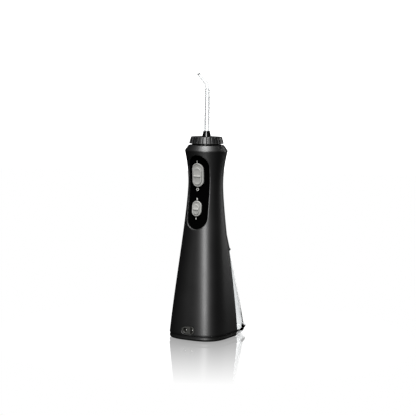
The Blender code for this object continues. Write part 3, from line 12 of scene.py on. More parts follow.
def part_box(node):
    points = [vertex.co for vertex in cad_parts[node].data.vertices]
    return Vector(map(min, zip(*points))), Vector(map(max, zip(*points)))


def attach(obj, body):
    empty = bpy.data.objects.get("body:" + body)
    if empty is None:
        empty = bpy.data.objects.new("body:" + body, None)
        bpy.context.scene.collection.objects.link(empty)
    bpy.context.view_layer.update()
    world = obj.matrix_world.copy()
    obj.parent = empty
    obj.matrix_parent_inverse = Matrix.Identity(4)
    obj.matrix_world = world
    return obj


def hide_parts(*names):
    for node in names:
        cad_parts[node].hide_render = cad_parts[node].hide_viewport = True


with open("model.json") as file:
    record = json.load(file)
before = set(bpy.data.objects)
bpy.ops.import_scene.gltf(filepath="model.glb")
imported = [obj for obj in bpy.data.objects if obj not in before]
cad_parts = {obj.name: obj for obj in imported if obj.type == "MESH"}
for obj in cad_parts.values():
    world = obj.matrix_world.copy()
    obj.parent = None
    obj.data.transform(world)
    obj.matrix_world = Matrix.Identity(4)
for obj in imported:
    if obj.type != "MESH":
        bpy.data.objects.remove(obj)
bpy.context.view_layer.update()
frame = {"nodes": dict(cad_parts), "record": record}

# Sizes, in metres, in the frame of the CAD model
GAP = 0.0003
WALL = 0.0022
TANK_WALL = 0.0018
BASE_HALF_WIDTH = 0.0340
BASE_FRONT = 0.0367
BASE_REAR = 0.0552
NECK_RADIUS = 0.0195
NECK_HEIGHT = 0.173
RIDGE_RADIUS = 0.0240
RIDGE_HEIGHT = 0.2097
SHOULDER_RADIUS = 0.0197
SHOULDER_HEIGHT = 0.2158
BASE_SEAM = 0.0054
BASE_INSET = 0.0006
BASE_EDGE_RADIUS = 0.0025
BASE_SQUARENESS = 3.0
REAR_SQUARENESS = 4.3
BAY_BASE_Y = 0.0186
BAY_TOP_Y = 0.0114
BAY_HEIGHT = 0.1152
CAP_BOTTOM = 0.0973
CAP_BOTTOM_REAR = 0.0308
CAP_SQUARENESS = 2.6
CAP_LIP = 0.0006
CAP_LIP_HEIGHT = 0.0012
CAP_SKIN = 0.0021
CAP_ROOF = 0.0026
TANK_FOOT = 0.0010
TANK_EDGE = 0.0050
FLANGE_REACH = 0.0046
FLANGE_BOTTOM = 0.0066
FLANGE_TOP = 0.0086
DOOR_HALF_WIDTH = 0.0105
DOOR_BOTTOM = 0.0993
DOOR_TOP = 0.1118
DOOR_THICKNESS = 0.0020
DOOR_RECESS = 0.0003
DOOR_LIP = 0.0012
DOOR_TOP_GAP = 0.0006
THROAT_GAP = 0.0015
MOUTH_HALF_WIDTH = 0.0075
MOUTH_BOTTOM = 0.1015
MOUTH_TOP = 0.1075
SPOUT_HEIGHT = 0.0130
SPOUT_RADIUS = 0.0030
SPOUT_BORE = 0.0020
SPOUT_REACH = 0.0065
PANEL_BOTTOM = 0.1229
PANEL_TOP = 0.2049
PANEL_HALF_WIDTH = 0.0126
PANEL_DEPTH = 0.0014
PANEL_THICKNESS = 0.0018
POWER_BOTTOM = 0.1700
POWER_TOP = 0.1961
POWER_HALF_WIDTH = 0.0070
POWER_TRAVEL = 0.0027
PRESSURE_BOTTOM = 0.1373
PRESSURE_TOP = 0.1545
PRESSURE_HALF_WIDTH = 0.0058
PRESSURE_TRAVEL = 0.0016
BOOT_RIM = 0.0014
MARK_LIFT = 0.00018
MARK_THICKNESS = 0.00010
MARK_ON = (0.00035, 0.1966, 0.1990)
MARK_HIGH = (0.00075, 0.1550, 0.1578)
MARK_LOW = (0.00060, 0.1337, 0.1359)
MARK_RING_HEIGHT = 0.1671
MARK_RING_INNER = 0.0009
MARK_RING_OUTER = 0.0017
PAD_INSET = 0.00025
PAD_DISH = 0.0007
BOOT_PROUD = 0.0000
SLIDE_GAP = 0.0005
PAD_PROUD = 0.0012
PAD_RIDGE = 0.0012
RIDGE_HALF_HEIGHT = 0.0011
RIDGE_FALL = 0.0004
PORT_HEIGHT = 0.0114
PORT_HALF_WIDTH = 0.0082
PORT_RADIUS = 0.0049
PIN_RADIUS = 0.0010
PIN_SPACING = 0.0077
ROUND_SOCKET_RADIUS = 0.0024
KEYED_SOCKET_RADIUS = 0.0042
NECK_STUB_RADIUS = 0.0120
COLLAR_RADIUS = 0.0160
COLLAR_TOP = 0.2169
KNOB_BOTTOM = 0.2172
KNOB_TOP = 0.2249
KNOB_BOTTOM_RADIUS = 0.0195
KNOB_TOP_RADIUS = 0.0174
KNOB_RIBS = 24
KNOB_ROOF = 0.0022
SOCKET_BASE_RADIUS = 0.0049
SOCKET_TOP_RADIUS = 0.0037
SOCKET_TOP = 0.2313
SOCKET_STEM_RADIUS = 0.0062
SOCKET_STEM_BOTTOM = 0.2130
TIP_STEM_RADIUS = 0.0024
TIP_ROOT_RADIUS = 0.0032
TIP_BEND_RADIUS = 0.0027
TIP_END_RADIUS = 0.0016
TIP_BEND_HEIGHT = 0.2824
TIP_TURN = 0.0065
TIP_BEND_ANGLE = math.radians(60)
TIP_REACH = 0.0210
EJECT_HEIGHT = 0.1960
EJECT_HALF_WIDTH = 0.0050
EJECT_HALF_HEIGHT = 0.0070
EJECT_PROUD = 0.0012

AROUND = 200
UP = 120


# ---------------------------------------------------------------- shape of the handle


def profile_samples():
    neck_rise = RIDGE_HEIGHT - NECK_HEIGHT
    taper = geometry.interpolate_bezier(
        Vector((BASE_HALF_WIDTH, 0.0)),
        Vector((BASE_HALF_WIDTH - 0.24 * (BASE_HALF_WIDTH - NECK_RADIUS), 0.347 * NECK_HEIGHT)),
        Vector((NECK_RADIUS, 0.81 * NECK_HEIGHT)),
        Vector((NECK_RADIUS, NECK_HEIGHT)),
        200,
    )
    flare = geometry.interpolate_bezier(
        Vector((NECK_RADIUS, NECK_HEIGHT)),
        Vector((NECK_RADIUS, NECK_HEIGHT + 0.36 * neck_rise)),
        Vector((RIDGE_RADIUS - 0.54 * (RIDGE_RADIUS - NECK_RADIUS), RIDGE_HEIGHT - 0.3 * neck_rise)),
        Vector((RIDGE_RADIUS, RIDGE_HEIGHT)),
        100,
    )
    samples = list(taper) + list(flare)[1:]
    samples.append(Vector((SHOULDER_RADIUS, SHOULDER_HEIGHT)))
    return [point[1] for point in samples], [point[0] for point in samples]


PROFILE_HEIGHTS, PROFILE_WIDTHS = profile_samples()


def half_width(z):
    return float(np.interp(z, PROFILE_HEIGHTS, PROFILE_WIDTHS))


def taper_share(z):
    return max(0.0, 1.0 - max(z, 0.0) / NECK_HEIGHT)


def front_depth(z):
    return half_width(z) * (1.0 + (BASE_FRONT / BASE_HALF_WIDTH - 1.0) * taper_share(z))


def rear_depth(z):
    if z >= BAY_HEIGHT:
        return front_depth(z)
    values = [BASE_REAR, CAP_BOTTOM_REAR, front_depth(BAY_HEIGHT)]
    return float(np.interp(z, [0.0, CAP_BOTTOM, BAY_HEIGHT], values))


def front_squareness(z):
    return 2.0 + (BASE_SQUARENESS - 2.0) * taper_share(z)


def rear_squareness(z):
    if z >= BAY_HEIGHT:
        return front_squareness(z)
    values = [REAR_SQUARENESS, CAP_SQUARENESS, front_squareness(BAY_HEIGHT)]
    return float(np.interp(z, [0.0, CAP_BOTTOM, BAY_HEIGHT], values))


def bay_y(z):
    return BAY_BASE_Y + (BAY_TOP_Y - BAY_BASE_Y) * z / BAY_HEIGHT


def outline_point(z, angle, grow=0.0):
    across = math.cos(angle)
    along = math.sin(angle)
    front = along < 0
    power = 2.0 / (front_squareness(z) if front else rear_squareness(z))
    depth = (front_depth(z) if front else rear_depth(z)) + grow
    x = (half_width(z) + grow) * math.copysign(abs(across) ** power, across)
    y = depth * math.copysign(abs(along) ** power, along)
    return x, y


def angle_at_y(z, y, grow):
    """The angle on the +X side where the outline reaches a given Y."""
    depth = rear_depth(z) + grow if y >= 0 else front_depth(z) + grow
    power = rear_squareness(z) if y >= 0 else front_squareness(z)
    share = min(max(abs(y) / depth, 0.0), 1.0)
    return math.copysign(math.asin(share ** (power / 2.0)), y)


def front_y(z, x=0.0):
    power = front_squareness(z)
    share = 1.0 - (abs(x) / half_width(z)) ** power
    return -front_depth(z) * max(share, 0.0) ** (1.0 / power)


def rear_y(z, x=0.0):
    power = rear_squareness(z)
    share = 1.0 - (abs(x) / half_width(z)) ** power
    return rear_depth(z) * max(share, 0.0) ** (1.0 / power)


def door_face_y(z):
    low = rear_y(DOOR_BOTTOM, DOOR_HALF_WIDTH) - DOOR_RECESS
    high = rear_y(DOOR_TOP, DOOR_HALF_WIDTH) - DOOR_RECESS
    return low + (high - low) * (z - DOOR_BOTTOM) / (DOOR_TOP - DOOR_BOTTOM)


# ---------------------------------------------------------------- mesh helpers


def link(name, mesh, material, body, replaces=(), smooth=35.0):
    """Put a finished mesh in the scene, riding on its body."""
    mesh.materials.clear()
    mesh.materials.append(MATERIALS[material])
    piece = bpy.data.objects.new(name, mesh)
    bpy.context.scene.collection.objects.link(piece)
    mesh.shade_smooth()
    mesh.set_sharp_from_angle(angle=math.radians(smooth))
    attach(piece, body)
    if replaces:
        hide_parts(*replaces)
    return piece


def mesh_of(bm, name):
    bmesh.ops.recalc_face_normals(bm, faces=bm.faces)
    mesh = bpy.data.meshes.new(name)
    bm.to_mesh(mesh)
    bm.free()
    return mesh


def add_skin(bm, rings, closed=False, cap_low=True, cap_high=True):
    """Add a skin over rings of equal length. closed joins the last ring to the first."""
    rows = [[bm.verts.new(point) for point in ring] for ring in rings]
    count = len(rows[0])
    pairs = list(zip(rows, rows[1:]))
    if closed:
        pairs.append((rows[-1], rows[0]))
    for lower, upper in pairs:
        for i in range(count):
            j = (i + 1) % count
            bm.faces.new((lower[i], lower[j], upper[j], upper[i]))
    if not closed and cap_low:
        bm.faces.new(list(reversed(rows[0])))
    if not closed and cap_high:
        bm.faces.new(rows[-1])


def skin_mesh(rings, closed=False, name="skin"):
    bm = bmesh.new()
    add_skin(bm, rings, closed)
    return mesh_of(bm, name)


def turned_rings(profile, sides, centre=(0.0, 0.0)):
    rings = []
    for radius, height in profile:
        ring = []
        for i in range(sides):
            angle = math.tau * i / sides
            x = centre[0] + radius * math.cos(angle)
            y = centre[1] + radius * math.sin(angle)
            ring.append((x, y, height))
        rings.append(ring)
    return rings


def round_corner(points, index, radius, steps=5):
    """Replace one corner of an open (a, b) polyline with a round of about this radius."""
    before = Vector(points[index - 1])
    corner = Vector(points[index])
    after = Vector(points[(index + 1) % len(points)])
    first = corner + (before - corner).normalized() * radius
    last = corner + (after - corner).normalized() * radius
    curve = []
    for step in range(steps + 1):
        t = step / steps
        spot = first * (1 - t) ** 2 + corner * 2 * t * (1 - t) + last * t**2
        curve.append((spot[0], spot[1]))
    return points[:index] + curve + points[index + 1 :]


def rounded(points, radii, steps=5):
    """Round the listed corners of a polyline, given as {index: radius}."""
    for index in sorted(radii, reverse=True):
        points = round_corner(points, index, radii[index], steps)
    return points


def cut(mesh, *cutters, operation="DIFFERENCE"):
    """Apply Booleans to a mesh and give the result as a new mesh."""
    piece = bpy.data.objects.new("cut_work", mesh)
    bpy.context.scene.collection.objects.link(piece)
    helpers = []
    for cutter in cutters:
        helper = bpy.data.objects.new("cut_helper", cutter)
        bpy.context.scene.collection.objects.link(helper)
        helpers.append(helper)
        modifier = piece.modifiers.new("cut", "BOOLEAN")
        modifier.object = helper
        modifier.operation = operation
        modifier.solver = "EXACT"
    bpy.context.view_layer.update()
    graph = bpy.context.evaluated_depsgraph_get()
    result = bpy.data.meshes.new_from_object(piece.evaluated_get(graph))
    for helper in helpers + [piece]:
        bpy.data.objects.remove(helper)
    return result


def box_mesh(low, high):
    low = Vector(low)
    high = Vector(high)
    bm = bmesh.new()
    bmesh.ops.create_cube(bm, size=1.0)
    bmesh.ops.scale(bm, vec=high - low, verts=bm.verts)
    bmesh.ops.translate(bm, vec=(low + high) / 2, verts=bm.verts)
    return mesh_of(bm, "box")


def leaning_rings(half_side, heights, near, far):
    rings = []
    for z in heights:
        rings.append(
            [
                (-half_side, near(z), z),
                (half_side, near(z), z),
                (half_side, far(z), z),
                (-half_side, far(z), z),
            ]
        )
    return rings


def bar_along_y(profile, sides, x, z):
    """A turned shape about a line along Y: profile gives (radius, y)."""
    rings = []
    for radius, y in profile:
        ring = []
        for i in range(sides):
            angle = math.tau * i / sides
            ring.append((x + radius * math.cos(angle), y, z + radius * math.sin(angle)))
        rings.append(ring)
    return rings


def bevel(mesh, width, segments=3, angle=35.0):
    """Round a mesh's sharp edges and give the result as a new mesh."""
    piece = bpy.data.objects.new("bevel_work", mesh)
    bpy.context.scene.collection.objects.link(piece)
    modifier = piece.modifiers.new("bevel", "BEVEL")
    modifier.width = width
    modifier.segments = segments
    modifier.limit_method = "ANGLE"
    modifier.angle_limit = math.radians(angle)
    bpy.context.view_layer.update()
    graph = bpy.context.evaluated_depsgraph_get()
    result = bpy.data.meshes.new_from_object(piece.evaluated_get(graph))
    bpy.data.objects.remove(piece)
    return result


# ---------------------------------------------------------------- materials


def node_material(name, colour, roughness, metallic=0.0, bump=0.0, grain=1500.0, spread=0.04,
                  shade=0.06, coat=0.0, specular=0.5, stretch=(1.0, 1.0, 1.0)):
    """A moulded or metal surface: fine grain in colour, roughness and bump."""
    material = bpy.data.materials.new(name)
    material.use_nodes = True
    tree = material.node_tree
    shader = tree.nodes["Principled BSDF"]
    shader.inputs["Metallic"].default_value = metallic
    shader.inputs["Specular IOR Level"].default_value = specular
    shader.inputs["Coat Weight"].default_value = coat
    shader.inputs["Coat Roughness"].default_value = 0.08
    place = tree.nodes.new("ShaderNodeTexCoord")
    mapping = tree.nodes.new("ShaderNodeMapping")
    mapping.inputs["Scale"].default_value = stretch
    tree.links.new(place.outputs["Object"], mapping.inputs["Vector"])
    fine = tree.nodes.new("ShaderNodeTexNoise")
    fine.inputs["Scale"].default_value = grain
    fine.inputs["Detail"].default_value = 3.0
    tree.links.new(mapping.outputs["Vector"], fine.inputs["Vector"])
    broad = tree.nodes.new("ShaderNodeTexNoise")
    broad.inputs["Scale"].default_value = 45.0
    broad.inputs["Detail"].default_value = 2.0
    tree.links.new(mapping.outputs["Vector"], broad.inputs["Vector"])
    rough = tree.nodes.new("ShaderNodeMapRange")
    rough.inputs["To Min"].default_value = max(roughness - spread, 0.01)
    rough.inputs["To Max"].default_value = roughness + spread
    tree.links.new(broad.outputs["Fac"], rough.inputs["Value"])
    tree.links.new(rough.outputs["Result"], shader.inputs["Roughness"])
    ramp = tree.nodes.new("ShaderNodeValToRGB")
    dark = [c * (1 - shade) for c in colour[:3]]
    light = [min(c * (1 + shade), 1.0) for c in colour[:3]]
    ramp.color_ramp.elements[0].position = 0.35
    ramp.color_ramp.elements[0].color = (*dark, 1.0)
    ramp.color_ramp.elements[1].position = 0.65
    ramp.color_ramp.elements[1].color = (*light, 1.0)
    tree.links.new(fine.outputs["Fac"], ramp.inputs["Fac"])
    tree.links.new(ramp.outputs["Color"], shader.inputs["Base Color"])
    if bump:
        relief = tree.nodes.new("ShaderNodeBump")
        relief.inputs["Strength"].default_value = bump
        relief.inputs["Distance"].default_value = 0.0001
        tree.links.new(fine.outputs["Fac"], relief.inputs["Height"])
        tree.links.new(relief.outputs["Normal"], shader.inputs["Normal"])
    return material


def clear_material(name, tint, roughness):
    """Clear moulded plastic: transmission with a faint ripple from the mould."""
    material = bpy.data.materials.new(name)
    material.use_nodes = True
    tree = material.node_tree
    shader = tree.nodes["Principled BSDF"]
    shader.inputs["Base Color"].default_value = tint
    shader.inputs["Transmission Weight"].default_value = 1.0
    shader.inputs["IOR"].default_value = 1.49
    place = tree.nodes.new("ShaderNodeTexCoord")
    ripple = tree.nodes.new("ShaderNodeTexNoise")
    ripple.inputs["Scale"].default_value = 60.0
    ripple.inputs["Detail"].default_value = 2.0
    tree.links.new(place.outputs["Object"], ripple.inputs["Vector"])
    rough = tree.nodes.new("ShaderNodeMapRange")
    rough.inputs["To Min"].default_value = roughness
    rough.inputs["To Max"].default_value = roughness + 0.03
    tree.links.new(ripple.outputs["Fac"], rough.inputs["Value"])
    tree.links.new(rough.outputs["Result"], shader.inputs["Roughness"])
    relief = tree.nodes.new("ShaderNodeBump")
    relief.inputs["Strength"].default_value = 0.05
    relief.inputs["Distance"].default_value = 0.0002
    tree.links.new(ripple.outputs["Fac"], relief.inputs["Height"])
    tree.links.new(relief.outputs["Normal"], shader.inputs["Normal"])
    return material


MATERIALS = {
    "satin_black": node_material(
        "satin_black", (0.0025, 0.0025, 0.0026), 0.43, bump=0.08, grain=2600.0, specular=0.95
    ),
    "gloss_black": node_material(
        "gloss_black", (0.004, 0.004, 0.004), 0.09, spread=0.02, grain=400.0, coat=0.4
    ),
    "port_grey": node_material("port_grey", (0.045, 0.045, 0.042), 0.42, bump=0.10, grain=2400.0),
    "base_black": node_material("base_black", (0.006, 0.006, 0.006), 0.45, bump=0.20, grain=2200.0),
    "slider_grey": node_material(
        "slider_grey", (0.33, 0.33, 0.315), 0.48, bump=0.10, grain=2400.0, shade=0.04
    ),
    "mark_grey": node_material("mark_grey", (0.42, 0.42, 0.40), 0.45, grain=3000.0, shade=0.08),
    "clear_plastic": clear_material("clear_plastic", (0.93, 0.945, 0.95, 1.0), 0.02),
    "white_plastic": node_material("white_plastic", (0.72, 0.72, 0.69), 0.42, bump=0.08, shade=0.04),
    "rubber": node_material("rubber", (0.025, 0.025, 0.025), 0.70, bump=0.30, grain=1800.0, shade=0.15),
    "steel": node_material(
        "steel",
        (0.60, 0.60, 0.57),
        0.26,
        metallic=1.0,
        bump=0.06,
        grain=900.0,
        stretch=(1.0, 0.15, 1.0),
    ),
    "brass": node_material("brass", (0.66, 0.48, 0.20), 0.28, metallic=1.0, bump=0.06, grain=900.0),
    "cell_wrap": node_material("cell_wrap", (0.08, 0.28, 0.13), 0.30, grain=300.0, coat=0.3),
    "circuit_green": node_material(
        "circuit_green", (0.02, 0.16, 0.07), 0.40, bump=0.25, grain=700.0, shade=0.25
    ),
}


def dress_cad_nodes():
    """Every CAD node that stays gets the procedural material of its own slot."""
    for entry in frame["record"]["subparts"]:
        node = entry["node"]
        piece = frame["nodes"][node]
        piece.data.materials.clear()
        piece.data.materials.append(MATERIALS[entry["material_slot"]])


# ---------------------------------------------------------------- casing


def casing_ring(z, grow, rear_limit, height=None):
    """One ring of the casing, with its back cut flat at a limit along Y, or left whole."""
    arc = int(AROUND * 0.7)
    flat = AROUND - arc
    height = z if height is None else height
    ring = []
    if rear_limit is None:
        corner = math.radians(40)
    else:
        corner = angle_at_y(z, rear_limit, grow)
    start = math.pi - corner
    sweep = math.pi + 2 * corner
    for i in range(arc + 1):
        angle = start + sweep * i / arc
        x, y = outline_point(z, angle, grow)
        ring.append((x, y, height))
    if rear_limit is None:
        for i in range(1, flat):
            angle = corner + (math.pi - 2 * corner) * i / flat
            x, y = outline_point(z, angle, grow)
            ring.append((x, y, height))
    else:
        side = outline_point(z, corner, grow)[0]
        for i in range(1, flat):
            ring.append((side - 2 * side * i / flat, rear_limit, height))
    return ring


def shell_rings():
    """Up the outside, over the shoulder, and down the inside."""
    seam = BASE_SEAM + GAP
    rings = []
    edge = 0.0004
    rings.append(casing_ring(seam, -edge, bay_y(seam) - edge))
    rings.append(casing_ring(seam, -0.3 * edge, bay_y(seam) - 0.3 * edge, seam + 0.3 * edge))
    for z in np.linspace(seam + edge, BAY_HEIGHT, UP // 2):
        rings.append(casing_ring(float(z), 0.0, bay_y(float(z))))
    rings.append(casing_ring(BAY_HEIGHT, 0.0, None))
    for z in np.linspace(BAY_HEIGHT + 0.001, RIDGE_HEIGHT - 0.0009, UP // 2):
        rings.append(casing_ring(float(z), 0.0, None))
    drop = SHOULDER_HEIGHT - RIDGE_HEIGHT
    slope = (RIDGE_RADIUS - SHOULDER_RADIUS) / drop
    top = [
        (half_width(RIDGE_HEIGHT - 0.0009), RIDGE_HEIGHT - 0.0009),
        (RIDGE_RADIUS, RIDGE_HEIGHT),
        (RIDGE_RADIUS - slope * (drop - 0.0001), SHOULDER_HEIGHT - 0.0001),
        (SHOULDER_RADIUS - 0.0016, SHOULDER_HEIGHT),
        (NECK_STUB_RADIUS + GAP, SHOULDER_HEIGHT),
        (NECK_STUB_RADIUS + GAP, RIDGE_HEIGHT),
    ]
    top = rounded(top, {1: 0.0008, 2: 0.0012})
    arc_like = casing_ring(RIDGE_HEIGHT, 0.0, None)
    for radius, height in top[1:]:
        ring = []
        for x, y, _ in arc_like:
            scale = radius / math.hypot(x, y)
            ring.append((x * scale, y * scale, height))
        rings.append(ring)
    wall_top = BAY_HEIGHT + WALL
    for z in np.linspace(RIDGE_HEIGHT, wall_top, UP // 4):
        rings.append(casing_ring(float(z), -WALL, None))
    for z in np.linspace(wall_top, seam, UP // 4):
        rings.append(casing_ring(float(z), -WALL, bay_y(float(z)) - WALL))
    return rings


def stadium_ring(half, low_centre, high_centre, count=48):
    """A slot outline round two end centres, in (x, z)."""
    points = []
    half_count = count // 2
    straight = 10
    for i in range(half_count + 1):
        angle = math.pi * i / half_count
        points.append((half * math.cos(angle), high_centre + half * math.sin(angle)))
    for i in range(1, straight):
        points.append((-half, high_centre + (low_centre - high_centre) * i / straight))
    for i in range(half_count + 1):
        angle = math.pi + math.pi * i / half_count
        points.append((half * math.cos(angle), low_centre + half * math.sin(angle)))
    for i in range(1, straight):
        points.append((half, low_centre + (high_centre - low_centre) * i / straight))
    return points


def window_cutter(ring_at, surface, side, radius, deep):
    """A cutter for a window whose rim is rounded by a radius where it meets the surface.

    ring_at(w) is the window's outline widened by w. side is -1 at the front, +1 at the back.
    """
    rings = []
    outside = [(x, side * 0.08, z) for x, z in ring_at(radius)]
    rings.append(outside)
    steps = 5
    for step in range(steps + 1):
        turn = math.radians(22) + (math.radians(90) - math.radians(22)) * step / steps
        widen = radius * (1 - math.sin(turn)) / (1 - math.sin(math.radians(22)))
        depth = radius * (math.cos(math.radians(22)) - math.cos(turn))
        ring = []
        for x, z in ring_at(widen):
            ring.append((x, surface(z, x) - side * depth, z))
        if step == 0:
            lifted = [(x, y + side * 0.0006, z) for x, y, z in ring]
            rings.append(lifted)
        rings.append(ring)
    rings.append([(x, side * deep, z) for x, z in ring_at(0.0)])
    return skin_mesh(rings)


def panel_outline(widen):
    half = PANEL_HALF_WIDTH + widen
    return stadium_ring(half, PANEL_BOTTOM + PANEL_HALF_WIDTH, PANEL_TOP - PANEL_HALF_WIDTH, 72)


def keyed_outline(widen, steps=24):
    """The charging port: a small round end on the left and a larger one on the right."""
    large = PORT_RADIUS + widen
    small = 0.85 * PORT_RADIUS + widen
    left = -PORT_HALF_WIDTH + 0.85 * PORT_RADIUS
    right = PORT_HALF_WIDTH - PORT_RADIUS
    points = []
    for i in range(steps + 1):
        angle = math.radians(-85) + math.radians(170) * i / steps
        points.append((right + large * math.cos(angle), PORT_HEIGHT + large * math.sin(angle)))
    for i in range(steps + 1):
        angle = math.radians(95) + math.radians(170) * i / steps
        points.append((left + small * math.cos(angle), PORT_HEIGHT + small * math.sin(angle)))
    return points


def eject_ring(widen):
    half = EJECT_HALF_WIDTH + widen
    reach = EJECT_HALF_HEIGHT - EJECT_HALF_WIDTH
    return stadium_ring(half, EJECT_HEIGHT - reach, EJECT_HEIGHT + reach)


def make_shell():
    shell = skin_mesh(shell_rings(), closed=True)
    cutters = [
        window_cutter(panel_outline, front_y, -1, 0.0010, 0.4 * NECK_RADIUS),
        window_cutter(keyed_outline, front_y, -1, 0.0004, 0.6 * BASE_FRONT),
        window_cutter(lambda w: eject_ring(w + SLIDE_GAP), rear_y, 1, 0.0005, 0.4 * NECK_RADIUS),
        skin_mesh(
            bar_along_y([(SPOUT_RADIUS + GAP, 0.01), (SPOUT_RADIUS + GAP, 0.03)], 32, 0.0, SPOUT_HEIGHT)
        ),
    ]
    shell = cut(shell, *cutters)
    link("shell_skin", shell, "satin_black", "handle", ("handle_shell",))


def make_base():
    edge = BASE_EDGE_RADIUS
    rings = []
    steps = 10
    for step in range(steps + 1):
        angle = math.radians(90) * step / steps
        inset = edge * (1 - math.sin(angle)) + BASE_INSET
        height = edge * (1 - math.cos(angle))
        rings.append(casing_ring(0.0, -inset, bay_y(height) - 0.3 * inset, height))
    top = BASE_SEAM - 0.0004
    for z in np.linspace(edge + 0.0005, top, 4):
        rings.append(casing_ring(float(z), -BASE_INSET, bay_y(float(z))))
    rings.append(casing_ring(BASE_SEAM, -BASE_INSET - 0.0004, bay_y(BASE_SEAM) - 0.0003))
    cover = skin_mesh(rings)
    pockets = []
    for index in range(4):
        low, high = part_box("base_screw_%d" % (index + 1))
        x = (low[0] + high[0]) / 2
        y = (low[1] + high[1]) / 2
        radius = (high[0] - low[0]) / 2 + GAP
        depth = low[2] + 0.0018
        profile = [(radius + 0.0004, -0.001), (radius + 0.0004, 0.0), (radius, 0.0004), (radius, depth)]
        pockets.append(skin_mesh(turned_rings(profile, 36, (x, y))))
    cover = cut(cover, *pockets)
    link("base_cover_skin", cover, "base_black", "handle", ("base_cover",), 30.0)


# ---------------------------------------------------------------- panel, boots and sliders


def draped_rings(half, low_centre, high_centre, levels, surface=front_y, side=-1, count=48):
    """Rings of a slot-shaped piece that follows the surface.

    levels are (inset from the edge, height above the surface).
    """
    rings = []
    for inset, lift in levels:
        ring = []
        for x, z in stadium_ring(max(half - inset, 0.0002), low_centre, high_centre, count):
            ring.append((x, surface(z, x) + side * lift, z))
        rings.append(ring)
    return rings


def draped_mesh(rings):
    """Skin the rings and close both ends with strips across the slot."""
    bm = bmesh.new()
    rows = [[bm.verts.new(point) for point in ring] for ring in rings]
    count = len(rows[0])
    for lower, upper in zip(rows, rows[1:]):
        for i in range(count):
            j = (i + 1) % count
            bm.faces.new((lower[i], lower[j], upper[j], upper[i]))
    for row, flip in ((rows[0], True), (rows[-1], False)):
        for face in strips_of(row):
            bm.faces.new(list(reversed(face)) if flip else face)
    return mesh_of(bm, "draped")


def strips_of(row):
    """Faces that fill a slot ring by joining points at equal heights on its two sides."""
    count = len(row)
    highest = max(range(count), key=lambda i: row[i].co.z)
    lowest = min(range(count), key=lambda i: row[i].co.z)
    right = []
    index = highest
    while index != lowest:
        right.append(row[index])
        index = (index - 1) % count
    right.append(row[lowest])
    left = []
    index = highest
    while index != lowest:
        left.append(row[index])
        index = (index + 1) % count
    left.append(row[lowest])
    steps = min(len(left), len(right)) - 1
    faces = []
    for k in range(steps):
        a, b = left[k], left[k + 1]
        c, d = right[k + 1], right[k]
        corners = []
        for corner in (a, b, c, d):
            if corner not in corners:
                corners.append(corner)
        if len(corners) >= 3:
            faces.append(corners)
    return faces


def dome_levels(edge_radius, top, crown, inset_to, steps=5, crown_steps=5):
    """Levels over a rounded edge and a shallow crown."""
    levels = []
    for step in range(steps + 1):
        angle = math.radians(90) * step / steps
        inset = edge_radius * (1 - math.cos(angle))
        levels.append((inset, top - edge_radius * (1 - math.sin(angle))))
    for step in range(1, crown_steps + 1):
        t = step / crown_steps
        inset = edge_radius + (inset_to - edge_radius) * t
        levels.append((inset, top + crown * (1 - (1 - t) ** 2)))
    return levels


def make_panel():
    half = PANEL_HALF_WIDTH - GAP
    low = PANEL_BOTTOM + PANEL_HALF_WIDTH
    high = PANEL_TOP - PANEL_HALF_WIDTH
    levels = [(0.0, -PANEL_DEPTH - PANEL_THICKNESS)]
    levels += dome_levels(0.0003, -PANEL_DEPTH, 0.0, half - 0.0004, 3, 8)
    mesh = draped_mesh(draped_rings(half, low, high, levels, count=72))
    link("panel_gloss", mesh, "gloss_black", "handle", ("control_panel",), 50.0)


def boot_levels(floor):
    """A rounded rim round a shallow trough, in the shape of a moulded rubber boot."""
    rim_top = BOOT_PROUD
    levels = [(0.0, -PANEL_DEPTH + 0.00012), (0.0, rim_top - 0.0007)]
    for step in range(1, 7):
        angle = math.radians(180) * step / 6
        inset = BOOT_RIM / 2 * (1 - math.cos(angle))
        levels.append((inset, rim_top - 0.0007 + 0.0007 * math.sin(angle)))
    levels.append((BOOT_RIM + 0.0001, floor + 0.0002))
    levels.append((BOOT_RIM + 0.0003, floor))
    return levels


def make_boot(name, half, bottom, top, node):
    floor = -PANEL_DEPTH + 0.00032
    levels = boot_levels(floor)
    for step in range(1, 5):
        levels.append((BOOT_RIM + 0.0003 + (half - BOOT_RIM - 0.0006) * step / 4, floor))
    mesh = draped_mesh(draped_rings(half, bottom + half, top - half, levels))
    link(name, mesh, "slider_grey", "handle", (node,), 60.0)


